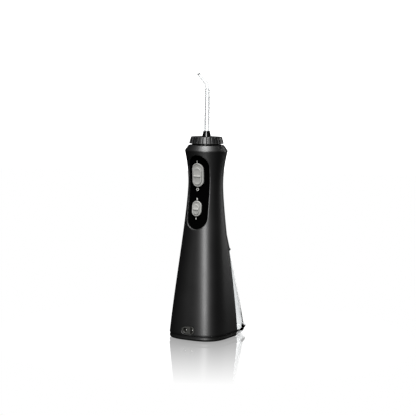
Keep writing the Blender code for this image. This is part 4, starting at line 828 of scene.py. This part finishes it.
def make_pad(name, half_width_, bottom, top, travel, node, body):
    """The raised pad and its cross ridge, as one rounded moulding."""
    inset = BOOT_RIM + SLIDE_GAP + PAD_INSET
    half = half_width_ - inset
    low = bottom + inset
    high = top - inset - travel
    low_centre = low + half
    high_centre = max(high - half, low_centre + 0.0004)
    levels = [(0.0, -PANEL_DEPTH + 2 * GAP + 0.0001)]
    levels += dome_levels(0.0007, PAD_PROUD - 0.0003, 0.0, 0.0010, 5, 1)
    levels += [(0.0016, PAD_PROUD - 0.0006), (0.0022, PAD_PROUD - PAD_DISH)]
    levels += [(half * 0.75, PAD_PROUD - PAD_DISH), (half - 0.0003, PAD_PROUD - PAD_DISH)]
    pad = draped_mesh(draped_rings(half, low_centre, high_centre, levels))
    middle = (low + high) / 2
    reach = 0.90 * half
    root = -PANEL_DEPTH + 3 * GAP
    crest = PAD_PROUD + PAD_RIDGE
    spans = 12
    rings = []
    for k in range(-spans, spans + 1):
        x = reach * k / spans
        fall = RIDGE_FALL * (abs(k) / spans) ** 6
        ring = [(x, front_y(middle, x) - root, middle - RIDGE_HALF_HEIGHT)]
        ring.append((x, front_y(middle, x) - root, middle + RIDGE_HALF_HEIGHT))
        for i in range(13):
            angle = math.pi * i / 12
            lift = crest - fall - RIDGE_HALF_HEIGHT * (1 - math.sin(angle))
            ring.append((x, front_y(middle, x) - lift, middle + RIDGE_HALF_HEIGHT * math.cos(angle)))
        rings.append(ring)
    whole = cut(pad, skin_mesh(rings), operation="UNION")
    link(name, whole, "slider_grey", body, (node,), 40.0)


def make_marks():
    """Plain position marks beside the sliders: a bar, a ring and two ticks."""
    lift = -PANEL_DEPTH + MARK_LIFT

    def bar(name, x_half, low, high):
        rings = []
        for depth in (0.0, MARK_THICKNESS):
            ring = []
            for x, z in stadium_ring(x_half, low + x_half, high - x_half, 16):
                ring.append((x, front_y(z, x) - lift - depth, z))
            rings.append(ring)
        link(name, skin_mesh(rings), "mark_grey", "handle")

    bar("mark_on", *MARK_ON)
    bar("mark_high", *MARK_HIGH)
    bar("mark_low", *MARK_LOW)
    centre = MARK_RING_HEIGHT
    edges = (
        (MARK_RING_INNER, 0.0),
        (MARK_RING_INNER, MARK_THICKNESS),
        (MARK_RING_OUTER, MARK_THICKNESS),
        (MARK_RING_OUTER, 0.0),
    )
    rings = []
    for radius, depth in edges:
        ring = []
        for i in range(32):
            angle = math.tau * i / 32
            x = radius * math.cos(angle)
            z = centre + radius * math.sin(angle)
            ring.append((x, front_y(z, x) - lift - depth, z))
        rings.append(ring)
    link("mark_off", skin_mesh(rings, closed=True), "mark_grey", "handle")


# ---------------------------------------------------------------- charging port


def make_port():
    face = front_y(PORT_HEIGHT, PORT_HALF_WIDTH * 0.6) + 0.0002
    rings = []
    for shrink, depth in ((0.0, 0.0098), (0.0, 0.0004), (0.0001, 0.0001), (0.0004, 0.0)):
        rings.append([(x, face + depth, z) for x, z in keyed_outline(-GAP - shrink)])
    rings.append([(x, face, z) for x, z in keyed_outline(-0.0014)])
    port = skin_mesh(rings)
    edge = 0.00035
    left = -PIN_SPACING / 2
    round_socket = skin_mesh(
        bar_along_y(
            [
                (ROUND_SOCKET_RADIUS + edge, face - 0.002),
                (ROUND_SOCKET_RADIUS + edge, face),
                (ROUND_SOCKET_RADIUS, face + edge),
                (ROUND_SOCKET_RADIUS, face + 0.0078),
            ],
            40,
            left,
            PORT_HEIGHT,
        )
    )
    keyed_rings = []
    for widen, depth in ((edge, -0.002), (edge, 0.0), (0.0, edge), (0.0, 0.0078)):
        ring = []
        steps = 28
        for i in range(steps + 1):
            angle = math.radians(-90) + math.pi * i / steps
            x = PIN_SPACING / 2 - 0.0012 + (0.75 * KEYED_SOCKET_RADIUS + widen) * math.cos(angle)
            if i in (0, steps):
                x -= widen
            ring.append((x, face + depth, PORT_HEIGHT + (KEYED_SOCKET_RADIUS + widen) * math.sin(angle)))
        keyed_rings.append(ring)
    port = cut(port, round_socket, skin_mesh(keyed_rings))
    link("port_insert", port, "port_grey", "handle", ("charge_port",), 30.0)
    for name, side in (("left", -1), ("right", 1)):
        tip = face + 0.0020
        profile = [
            (0.0002, tip),
            (0.0006, tip + 0.0001),
            (0.0009, tip + 0.0004),
            (PIN_RADIUS, tip + 0.0008),
            (PIN_RADIUS, tip + 0.0050),
        ]
        pin = skin_mesh(bar_along_y(profile, 28, side * PIN_SPACING / 2, PORT_HEIGHT))
        node = "contact_pin_" + name
        link("pin_" + name, pin, "steel", "handle", (node,), 40.0)


# ---------------------------------------------------------------- neck, knob and tip


def make_neck():
    bore = SOCKET_STEM_RADIUS + SLIDE_GAP
    profile = [
        (bore, SOCKET_STEM_BOTTOM - 0.003),
        (NECK_STUB_RADIUS, SOCKET_STEM_BOTTOM - 0.003),
        (NECK_STUB_RADIUS, SHOULDER_HEIGHT + GAP),
        (COLLAR_RADIUS, SHOULDER_HEIGHT + GAP),
        (COLLAR_RADIUS, COLLAR_TOP),
        (NECK_STUB_RADIUS, COLLAR_TOP),
        (NECK_STUB_RADIUS - 0.001, KNOB_TOP - KNOB_ROOF - 0.001),
        (bore, KNOB_TOP - KNOB_ROOF - 0.001),
    ]
    mesh = skin_mesh(turned_rings(rounded(profile, {4: 0.0004, 3: 0.0003}), 96), closed=True)
    link("neck_collar", mesh, "gloss_black", "handle", ("neck_outlet",), 30.0)


def knob_ring(radius, height, depth):
    """Broad convex ribs with narrow valleys between them."""
    per_rib = 14
    ring = []
    for i in range(KNOB_RIBS * per_rib):
        turn = i / per_rib
        phase = abs((turn % 1.0) - 0.5) * 2.0
        valley = depth * phase**12
        angle = math.tau * i / (KNOB_RIBS * per_rib)
        spot = radius - valley
        ring.append((spot * math.cos(angle), spot * math.sin(angle), height))
    return ring


def make_knob():
    rim = 0.0008
    slope = (KNOB_BOTTOM_RADIUS - KNOB_TOP_RADIUS) / (KNOB_TOP - KNOB_BOTTOM)
    side = KNOB_BOTTOM_RADIUS
    outer = [
        (side - 0.0010, KNOB_BOTTOM, 0.0005),
        (side - 0.0004, KNOB_BOTTOM + 0.0001, 0.0007),
        (side - 0.00005, KNOB_BOTTOM + 0.0005, 0.0008),
    ]
    for t in np.linspace(0.1, 0.86, 8):
        z = KNOB_BOTTOM + (KNOB_TOP - KNOB_BOTTOM) * float(t)
        outer.append((side - slope * (z - KNOB_BOTTOM) * 1.02, z, 0.0009))
    for step in range(1, 6):
        angle = math.radians(90) * step / 5
        spot = KNOB_TOP_RADIUS + 0.0002 - rim * (1 - math.cos(angle))
        outer.append((spot, KNOB_TOP - rim + rim * math.sin(angle), 0.0009 * (1 - step / 6)))
    rings = [knob_ring(radius, height, depth) for radius, height, depth in outer]
    top_in = SOCKET_BASE_RADIUS + GAP
    inner = [
        (KNOB_TOP_RADIUS - 0.0022, KNOB_TOP),
        (KNOB_TOP_RADIUS - 0.0028, KNOB_TOP - 0.0003),
        (top_in + 0.0012, KNOB_TOP - 0.0003),
        (top_in + 0.0002, KNOB_TOP - 0.0002),
        (top_in, KNOB_TOP - 0.0006),
        (top_in, KNOB_TOP - KNOB_ROOF),
        (COLLAR_RADIUS - 0.001, KNOB_TOP - KNOB_ROOF),
        (COLLAR_RADIUS - 0.001, KNOB_BOTTOM),
    ]
    for radius, height in inner:
        rings.append(knob_ring(radius, height, 0.0))
    mesh = skin_mesh(rings, closed=True)
    link("knob_ribbed", mesh, "satin_black", "knob", ("rotation_knob",), 40.0)


def make_socket():
    bore = TIP_STEM_RADIUS + GAP
    flange_top = KNOB_TOP - KNOB_ROOF - GAP
    profile = [
        (bore, SOCKET_STEM_BOTTOM),
        (SOCKET_STEM_RADIUS, SOCKET_STEM_BOTTOM),
        (SOCKET_STEM_RADIUS, flange_top),
        (SOCKET_BASE_RADIUS, flange_top),
        (SOCKET_BASE_RADIUS, KNOB_TOP + 0.0005),
        (SOCKET_TOP_RADIUS, SOCKET_TOP),
        (bore, SOCKET_TOP),
    ]
    profile = rounded(profile, {4: 0.0006, 5: 0.0004})
    mesh = skin_mesh(turned_rings(profile, 72), closed=True)
    link("socket_cone", mesh, "gloss_black", "knob", ("tip_socket",), 30.0)


def tip_stations():
    """Centre, lean and radius along the tip, with a soft bend and a tapering jet."""
    shoulder = SOCKET_TOP + GAP
    stations = [
        (Vector((0, 0, SOCKET_STEM_BOTTOM + 0.004)), 0.0, TIP_STEM_RADIUS),
        (Vector((0, 0, shoulder)), 0.0, TIP_STEM_RADIUS),
        (Vector((0, 0, shoulder)), 0.0, TIP_ROOT_RADIUS - 0.0003),
        (Vector((0, 0, shoulder + 0.0003)), 0.0, TIP_ROOT_RADIUS),
    ]
    run = TIP_TURN * math.tan(TIP_BEND_ANGLE / 2)
    bend_start = TIP_BEND_HEIGHT - run
    straight = 16
    for i in range(1, straight):
        t = i / straight
        z = shoulder + 0.0003 + (bend_start - shoulder) * t
        radius = TIP_ROOT_RADIUS + (TIP_BEND_RADIUS - TIP_ROOT_RADIUS) * t
        stations.append((Vector((0, 0, z)), 0.0, radius))
    arc = 16
    for i in range(arc + 1):
        angle = TIP_BEND_ANGLE * i / arc
        y = -TIP_TURN * (1 - math.cos(angle))
        z = bend_start + TIP_TURN * math.sin(angle)
        stations.append((Vector((0, y, z)), angle, TIP_BEND_RADIUS - 0.0005 * i / arc))
    start = stations[-1][0]
    end = Vector((0, -TIP_REACH, TIP_BEND_HEIGHT + TIP_REACH / math.tan(TIP_BEND_ANGLE)))
    reach = 10
    for i in range(1, reach + 1):
        t = i / reach
        bent = TIP_BEND_RADIUS - 0.0005
        radius = bent + (TIP_END_RADIUS - bent) * t
        stations.append((start.lerp(end, t * 0.985), TIP_BEND_ANGLE, radius))
    stations.append((end, TIP_BEND_ANGLE, TIP_END_RADIUS - 0.0003))
    return stations


def tip_ring(centre, lean, radius, sides=40):
    up = Vector((0, math.cos(lean), math.sin(lean)))
    ring = []
    for i in range(sides):
        turn = math.tau * i / sides
        ring.append(tuple(centre + radius * (Vector((1, 0, 0)) * math.cos(turn) + up * math.sin(turn))))
    return ring


def make_tip():
    stations = tip_stations()
    rings = [tip_ring(*station) for station in stations]
    inner = []
    for index, (centre, lean, radius) in enumerate(reversed(stations)):
        if index in (len(stations) - 3,):
            continue
        share = index / len(stations)
        inner.append(tip_ring(centre, lean, 0.0006 + 0.0009 * share))
    mesh = skin_mesh(rings + inner, closed=True)
    link("jet_tip_clear", mesh, "clear_plastic", "tip", ("jet_tip",), 40.0)


# ---------------------------------------------------------------- tip release


def make_eject():
    reach = EJECT_HALF_HEIGHT - EJECT_HALF_WIDTH
    levels = [(0.0, -WALL)]
    levels += dome_levels(0.0008, EJECT_PROUD - 0.0002, 0.0, 0.0012, 5, 1)
    levels += [(0.0020, EJECT_PROUD - 0.0004), (EJECT_HALF_WIDTH - 0.0003, EJECT_PROUD - 0.0006)]
    rings = draped_rings(
        EJECT_HALF_WIDTH, EJECT_HEIGHT - reach, EJECT_HEIGHT + reach, levels, rear_y, 1
    )
    mesh = draped_mesh(rings)
    link("eject_button_fine", mesh, "satin_black", "eject", ("eject_button",), 50.0)


# ---------------------------------------------------------------- tank, cap and door


def tank_ring(z, grow, front_limit, height=None, back_limit=None):
    """The tank's outline behind the bay's face: a flat front and the curved back."""
    arc = int(AROUND * 0.6)
    flat = AROUND - arc
    height = z if height is None else height
    corner = angle_at_y(z, front_limit, grow)
    ring = []
    for i in range(arc + 1):
        angle = corner + (math.pi - 2 * corner) * i / arc
        x, y = outline_point(z, angle, grow)
        if back_limit is not None:
            y = min(y, back_limit)
        ring.append((x, y, height))
    side = outline_point(z, corner, grow)[0]
    for i in range(1, flat):
        ring.append((-side + 2 * side * i / flat, front_limit, height))
    return ring


def flange_ring(z, share=1.0):
    """The tank's outline at a height, drawn out to the rear into its foot flange."""
    stretch = 1.0 + share * FLANGE_REACH / rear_depth(z)
    front = bay_y(z) + 2 * GAP
    return [(x, y * stretch if y > front else y, z) for x, y, z in tank_ring(z, 0.0, front)]


def tank_rings(shrink):
    """Outer skin for shrink 0, or the hollow for the wall's thickness."""
    front = 2 * GAP + shrink
    rings = []
    steps = 8
    low = TANK_FOOT + shrink
    for step in range(steps + 1):
        angle = math.radians(90) * step / steps
        inset = TANK_EDGE * (1 - math.sin(angle)) * 0.7 + shrink
        height = low + TANK_EDGE * (1 - math.cos(angle))
        rings.append(tank_ring(TANK_FOOT + TANK_EDGE, -inset, bay_y(height) + front, height))
    start = low + TANK_EDGE + 0.001
    if shrink == 0.0:
        edge = 0.0003
        for z, share in (
            (FLANGE_BOTTOM, 1 - edge / FLANGE_REACH),
            (FLANGE_BOTTOM + edge, 1.0),
            (FLANGE_TOP - edge, 1.0),
            (FLANGE_TOP, 1 - edge / FLANGE_REACH),
            (FLANGE_TOP + 0.18 * FLANGE_REACH, 0.5),
            (FLANGE_TOP + 0.5 * FLANGE_REACH, 0.0),
        ):
            rings.append(flange_ring(z, share))
        start = FLANGE_TOP + 0.5 * FLANGE_REACH + 0.001
    top = CAP_BOTTOM - GAP - shrink
    for z in np.linspace(start, top, UP // 3):
        rings.append(tank_ring(float(z), -shrink, bay_y(float(z)) + front))
    throat_grow = -CAP_SKIN - 2 * GAP - shrink
    throat_top = BAY_HEIGHT - CAP_ROOF - 2 * GAP - shrink
    limit = DOOR_THICKNESS + THROAT_GAP + shrink
    for z in np.linspace(top, throat_top, 8):
        height = float(z)
        rings.append(
            tank_ring(height, throat_grow, bay_y(height) + front, height, door_face_y(height) - limit)
        )
    return rings


def make_tank():
    bm = bmesh.new()
    add_skin(bm, tank_rings(0.0))
    outer = mesh_of(bm, "outer")
    inner = skin_mesh(tank_rings(TANK_WALL))
    mouth = box_mesh(
        (-MOUTH_HALF_WIDTH, bay_y(MOUTH_TOP) + 0.004, MOUTH_BOTTOM), (MOUTH_HALF_WIDTH, 0.08, MOUTH_TOP)
    )
    tank = cut(outer, inner, mouth)
    start = bay_y(SPOUT_HEIGHT) - WALL - SPOUT_REACH
    spout = skin_mesh(
        bar_along_y(
            [
                (SPOUT_RADIUS - 0.0004, start),
                (SPOUT_RADIUS, start + 0.0004),
                (SPOUT_RADIUS, start + SPOUT_REACH + 2 * WALL),
            ],
            40,
            0.0,
            SPOUT_HEIGHT,
        )
    )
    bore = skin_mesh(
        bar_along_y([(SPOUT_BORE, start - 0.002), (SPOUT_BORE, start + 0.018)], 32, 0.0, SPOUT_HEIGHT)
    )
    tank = cut(tank, spout, operation="UNION")
    tank = cut(tank, bore)
    link("tank_clear", tank, "clear_plastic", "tank", ("water_tank",), 40.0)


def make_cap():
    front = 2 * GAP
    rings = []
    lip = [(0.0, CAP_LIP - 0.0003), (0.0003, CAP_LIP), (CAP_LIP_HEIGHT - 0.0003, CAP_LIP)]
    lip += [(CAP_LIP_HEIGHT, CAP_LIP - 0.0003), (CAP_LIP_HEIGHT + 0.0002, 0.0)]
    for rise, grow in lip:
        z = CAP_BOTTOM + rise
        rings.append(tank_ring(CAP_BOTTOM, grow, bay_y(z) + front, z))
    for z in np.linspace(CAP_BOTTOM + CAP_LIP_HEIGHT + 0.001, BAY_HEIGHT - GAP - 0.0003, UP // 5):
        rings.append(tank_ring(float(z), 0.0, bay_y(float(z)) + front))
    rings.append(tank_ring(BAY_HEIGHT - GAP, -0.0003, bay_y(BAY_HEIGHT) + front))
    cap = skin_mesh(rings)
    inner = []
    roof = BAY_HEIGHT - CAP_ROOF - GAP
    for z in np.linspace(CAP_BOTTOM - 0.002, roof, 6):
        ring = []
        for i in range(AROUND):
            x, y = outline_point(float(z), math.tau * i / AROUND, -CAP_SKIN)
            ring.append((x, y, float(z)))
        inner.append(ring)
    window = box_mesh((-DOOR_HALF_WIDTH, 0.016, DOOR_BOTTOM), (DOOR_HALF_WIDTH, 0.08, DOOR_TOP))
    cap = cut(cap, skin_mesh(inner), bevel(window, 0.0006, 3))
    link("tank_cap_fine", cap, "satin_black", "tank", ("tank_cap",), 35.0)


def make_door():
    side = DOOR_HALF_WIDTH - GAP
    heights = [DOOR_BOTTOM + GAP, DOOR_TOP - DOOR_TOP_GAP]
    door = skin_mesh(
        leaning_rings(side, heights, lambda z: door_face_y(z) - DOOR_THICKNESS, door_face_y)
    )
    door = bevel(door, 0.0004, 4)
    lip_heights = [DOOR_BOTTOM + GAP + 0.0001, DOOR_BOTTOM + GAP + 0.0011]
    lip = skin_mesh(
        leaning_rings(
            0.6 * side,
            lip_heights,
            lambda z: door_face_y(z) - DOOR_THICKNESS / 2,
            lambda z: door_face_y(z) + DOOR_LIP - 0.0001,
        )
    )
    door = cut(door, bevel(lip, 0.0003, 3), operation="UNION")
    link("fill_door_fine", door, "satin_black", "door", ("fill_door",), 35.0)


# ---------------------------------------------------------------- stage, light and camera

CAMERA_DISTANCE = 1.500
CAMERA_HEIGHT = 0.2949
CAMERA_AZIMUTH = math.radians(28.8)
CAMERA_PITCH = math.radians(5.71)
CAMERA_ROLL = math.radians(0.98)
FOCAL_IN_WIDTHS = 1345.0 / 416.0
CENTRE_SHIFT = 0.0064
BACKDROP_DISTANCE = 2.6
BACKDROP_HALF_WIDTH = 1.5
BACKDROP_GLOW = 1.7
SURROUND_RADIUS = 3.9
SURROUND_HEIGHT = 6.0
SURROUND_SIDES = 64
MIRROR_SHARE = 0.63
MIRROR_START = 0.036
MIRROR_END = 0.24
MIRROR_ROUGHNESS = 0.04
ROOM_GLOW = 0.02
KEY_POWER = 28.0
TOP_POWER = 20.0
RIM_POWER = 1.6


def make_camera():
    camera = bpy.data.cameras.new("camera")
    camera.sensor_width = 36.0
    camera.lens = 36.0 * FOCAL_IN_WIDTHS
    camera.shift_x = CENTRE_SHIFT
    camera.clip_start = 0.05
    camera.clip_end = 50.0
    holder = bpy.data.objects.new("camera", camera)
    bpy.context.scene.collection.objects.link(holder)
    holder.location = (
        CAMERA_DISTANCE * math.sin(CAMERA_AZIMUTH),
        -CAMERA_DISTANCE * math.cos(CAMERA_AZIMUTH),
        CAMERA_HEIGHT,
    )
    aim = Euler((math.radians(90) - CAMERA_PITCH, 0.0, CAMERA_AZIMUTH), "XYZ").to_matrix()
    roll = Matrix.Rotation(CAMERA_ROLL, 3, "Z")
    holder.rotation_euler = (aim @ roll).to_euler("XYZ")
    bpy.context.scene.camera = holder


def area_light(name, azimuth, distance, height, size, power, aim_height=0.12):
    """A soft box that faces the object. Azimuth 0 is in front of the controls."""
    light = bpy.data.lights.new(name, "AREA")
    light.shape = "RECTANGLE"
    light.size = size[0]
    light.size_y = size[1]
    light.energy = power
    lamp = bpy.data.objects.new(name, light)
    bpy.context.scene.collection.objects.link(lamp)
    turn = math.radians(azimuth)
    spot = Vector((distance * math.sin(turn), -distance * math.cos(turn), height))
    lamp.location = spot
    lamp.rotation_euler = (Vector((0, 0, aim_height)) - spot).to_track_quat("-Z", "Y").to_euler()
    return lamp


def stage_piece(name, mesh, material):
    mesh.materials.append(material)
    piece = bpy.data.objects.new(name, mesh)
    bpy.context.scene.collection.objects.link(piece)
    return piece


def glow_material(name, strength):
    material = bpy.data.materials.new(name)
    material.use_nodes = True
    shader = material.node_tree.nodes["Principled BSDF"]
    shader.inputs["Base Color"].default_value = (0.0, 0.0, 0.0, 1.0)
    shader.inputs["Specular IOR Level"].default_value = 0.0
    shader.inputs["Emission Color"].default_value = (1.0, 1.0, 1.0, 1.0)
    shader.inputs["Emission Strength"].default_value = strength
    return material


def floor_material():
    """An even white, with a mirror round the foot that fades out across the floor."""
    material = bpy.data.materials.new("floor_white")
    material.use_nodes = True
    nodes = material.node_tree.nodes
    links = material.node_tree.links
    nodes.clear()
    place = nodes.new("ShaderNodeNewGeometry")
    distance = nodes.new("ShaderNodeVectorMath")
    distance.operation = "LENGTH"
    fade = nodes.new("ShaderNodeMapRange")
    fade.inputs["From Min"].default_value = MIRROR_START
    fade.inputs["From Max"].default_value = MIRROR_END
    fade.inputs["To Min"].default_value = MIRROR_SHARE
    fade.inputs["To Max"].default_value = 0.0
    white = nodes.new("ShaderNodeEmission")
    mirror = nodes.new("ShaderNodeBsdfGlossy")
    mirror.inputs["Roughness"].default_value = MIRROR_ROUGHNESS
    mixed = nodes.new("ShaderNodeMixShader")
    out = nodes.new("ShaderNodeOutputMaterial")
    links.new(place.outputs["Position"], distance.inputs[0])
    links.new(distance.outputs["Value"], fade.inputs["Value"])
    links.new(fade.outputs["Result"], mixed.inputs[0])
    links.new(white.outputs[0], mixed.inputs[1])
    links.new(mirror.outputs[0], mixed.inputs[2])
    links.new(mixed.outputs[0], out.inputs["Surface"])
    material.cycles.emission_sampling = "NONE"
    return material


def make_surround():
    """A white wall all round, seen directly and in the floor but lighting nothing."""
    bm = bmesh.new()
    bmesh.ops.create_cone(
        bm,
        segments=SURROUND_SIDES,
        radius1=SURROUND_RADIUS,
        radius2=SURROUND_RADIUS,
        depth=SURROUND_HEIGHT,
    )
    material = glow_material("surround_white", 1.0)
    material.cycles.emission_sampling = "NONE"
    surround = stage_piece("surround", mesh_of(bm, "surround"), material)
    surround.visible_diffuse = False
    surround.visible_transmission = False
    surround.visible_shadow = False


def make_stage():
    """A pale floor and a white surround, with a brighter backdrop behind the clear pieces."""
    floor = stage_piece("floor", box_mesh((-4.0, -4.0, -0.02), (4.0, 4.0, -0.0001)), floor_material())
    floor.visible_diffuse = False
    floor.visible_glossy = False
    make_surround()
    backdrop = box_mesh((-BACKDROP_HALF_WIDTH, -0.01, -0.3), (BACKDROP_HALF_WIDTH, 0.0, 2.4))
    backdrop = stage_piece("backdrop", backdrop, glow_material("backdrop_white", BACKDROP_GLOW))
    backdrop.location = (
        -BACKDROP_DISTANCE * math.sin(CAMERA_AZIMUTH),
        BACKDROP_DISTANCE * math.cos(CAMERA_AZIMUTH),
        0.0,
    )
    backdrop.rotation_euler = (0.0, 0.0, CAMERA_AZIMUTH)
    backdrop.visible_diffuse = False
    world = bpy.data.worlds.new("studio")
    bpy.context.scene.world = world
    world.use_nodes = True
    background = world.node_tree.nodes["Background"]
    background.inputs["Color"].default_value = (1.0, 1.0, 1.0, 1.0)
    background.inputs["Strength"].default_value = ROOM_GLOW
    bpy.context.scene.view_settings.view_transform = "Standard"


def make_lights():
    key = area_light("key_strip", 21, 1.4, 0.62, (0.40, 1.5), KEY_POWER)
    keep_off(key, ("panel_gloss",))
    light_only(bpy.data.objects["backdrop"], ("floor", "tank_clear", "jet_tip_clear", "suction_tube"))
    light_only(bpy.data.objects["surround"], ("floor",))
    area_light("top_soft", 12, 0.36, 1.5, (0.6, 0.6), TOP_POWER, 0.2)
    area_light("rim_strip", 155, 1.2, 0.45, (0.12, 0.9), RIM_POWER)


def link_light(lamp, names, state):
    collection = bpy.data.collections.new(lamp.name + "_receivers")
    for name in names:
        collection.objects.link(bpy.data.objects[name])
    lamp.light_linking.receiver_collection = collection
    for entry in collection.collection_objects:
        entry.light_linking.link_state = state


def keep_off(lamp, names):
    """Leave some pieces out of a lamp's light."""
    link_light(lamp, names, "EXCLUDE")


def light_only(lamp, names):
    """Let a glowing object light and show in only some pieces."""
    link_light(lamp, names, "INCLUDE")


dress_cad_nodes()
make_shell()
make_base()
make_panel()
make_boot("power_boot_fine", POWER_HALF_WIDTH, POWER_BOTTOM, POWER_TOP, "power_boot")
make_boot("pressure_boot_fine", PRESSURE_HALF_WIDTH, PRESSURE_BOTTOM, PRESSURE_TOP, "pressure_boot")
make_pad("power_pad", POWER_HALF_WIDTH, POWER_BOTTOM, POWER_TOP, POWER_TRAVEL, "power_slider",
         "power_slide_body")
make_pad("pressure_pad", PRESSURE_HALF_WIDTH, PRESSURE_BOTTOM, PRESSURE_TOP, PRESSURE_TRAVEL,
         "pressure_slider", "pressure_slide_body")
make_marks()
make_port()
make_neck()
make_knob()
make_socket()
make_tip()
make_eject()
make_tank()
make_cap()
make_door()
make_stage()
make_lights()
make_camera()
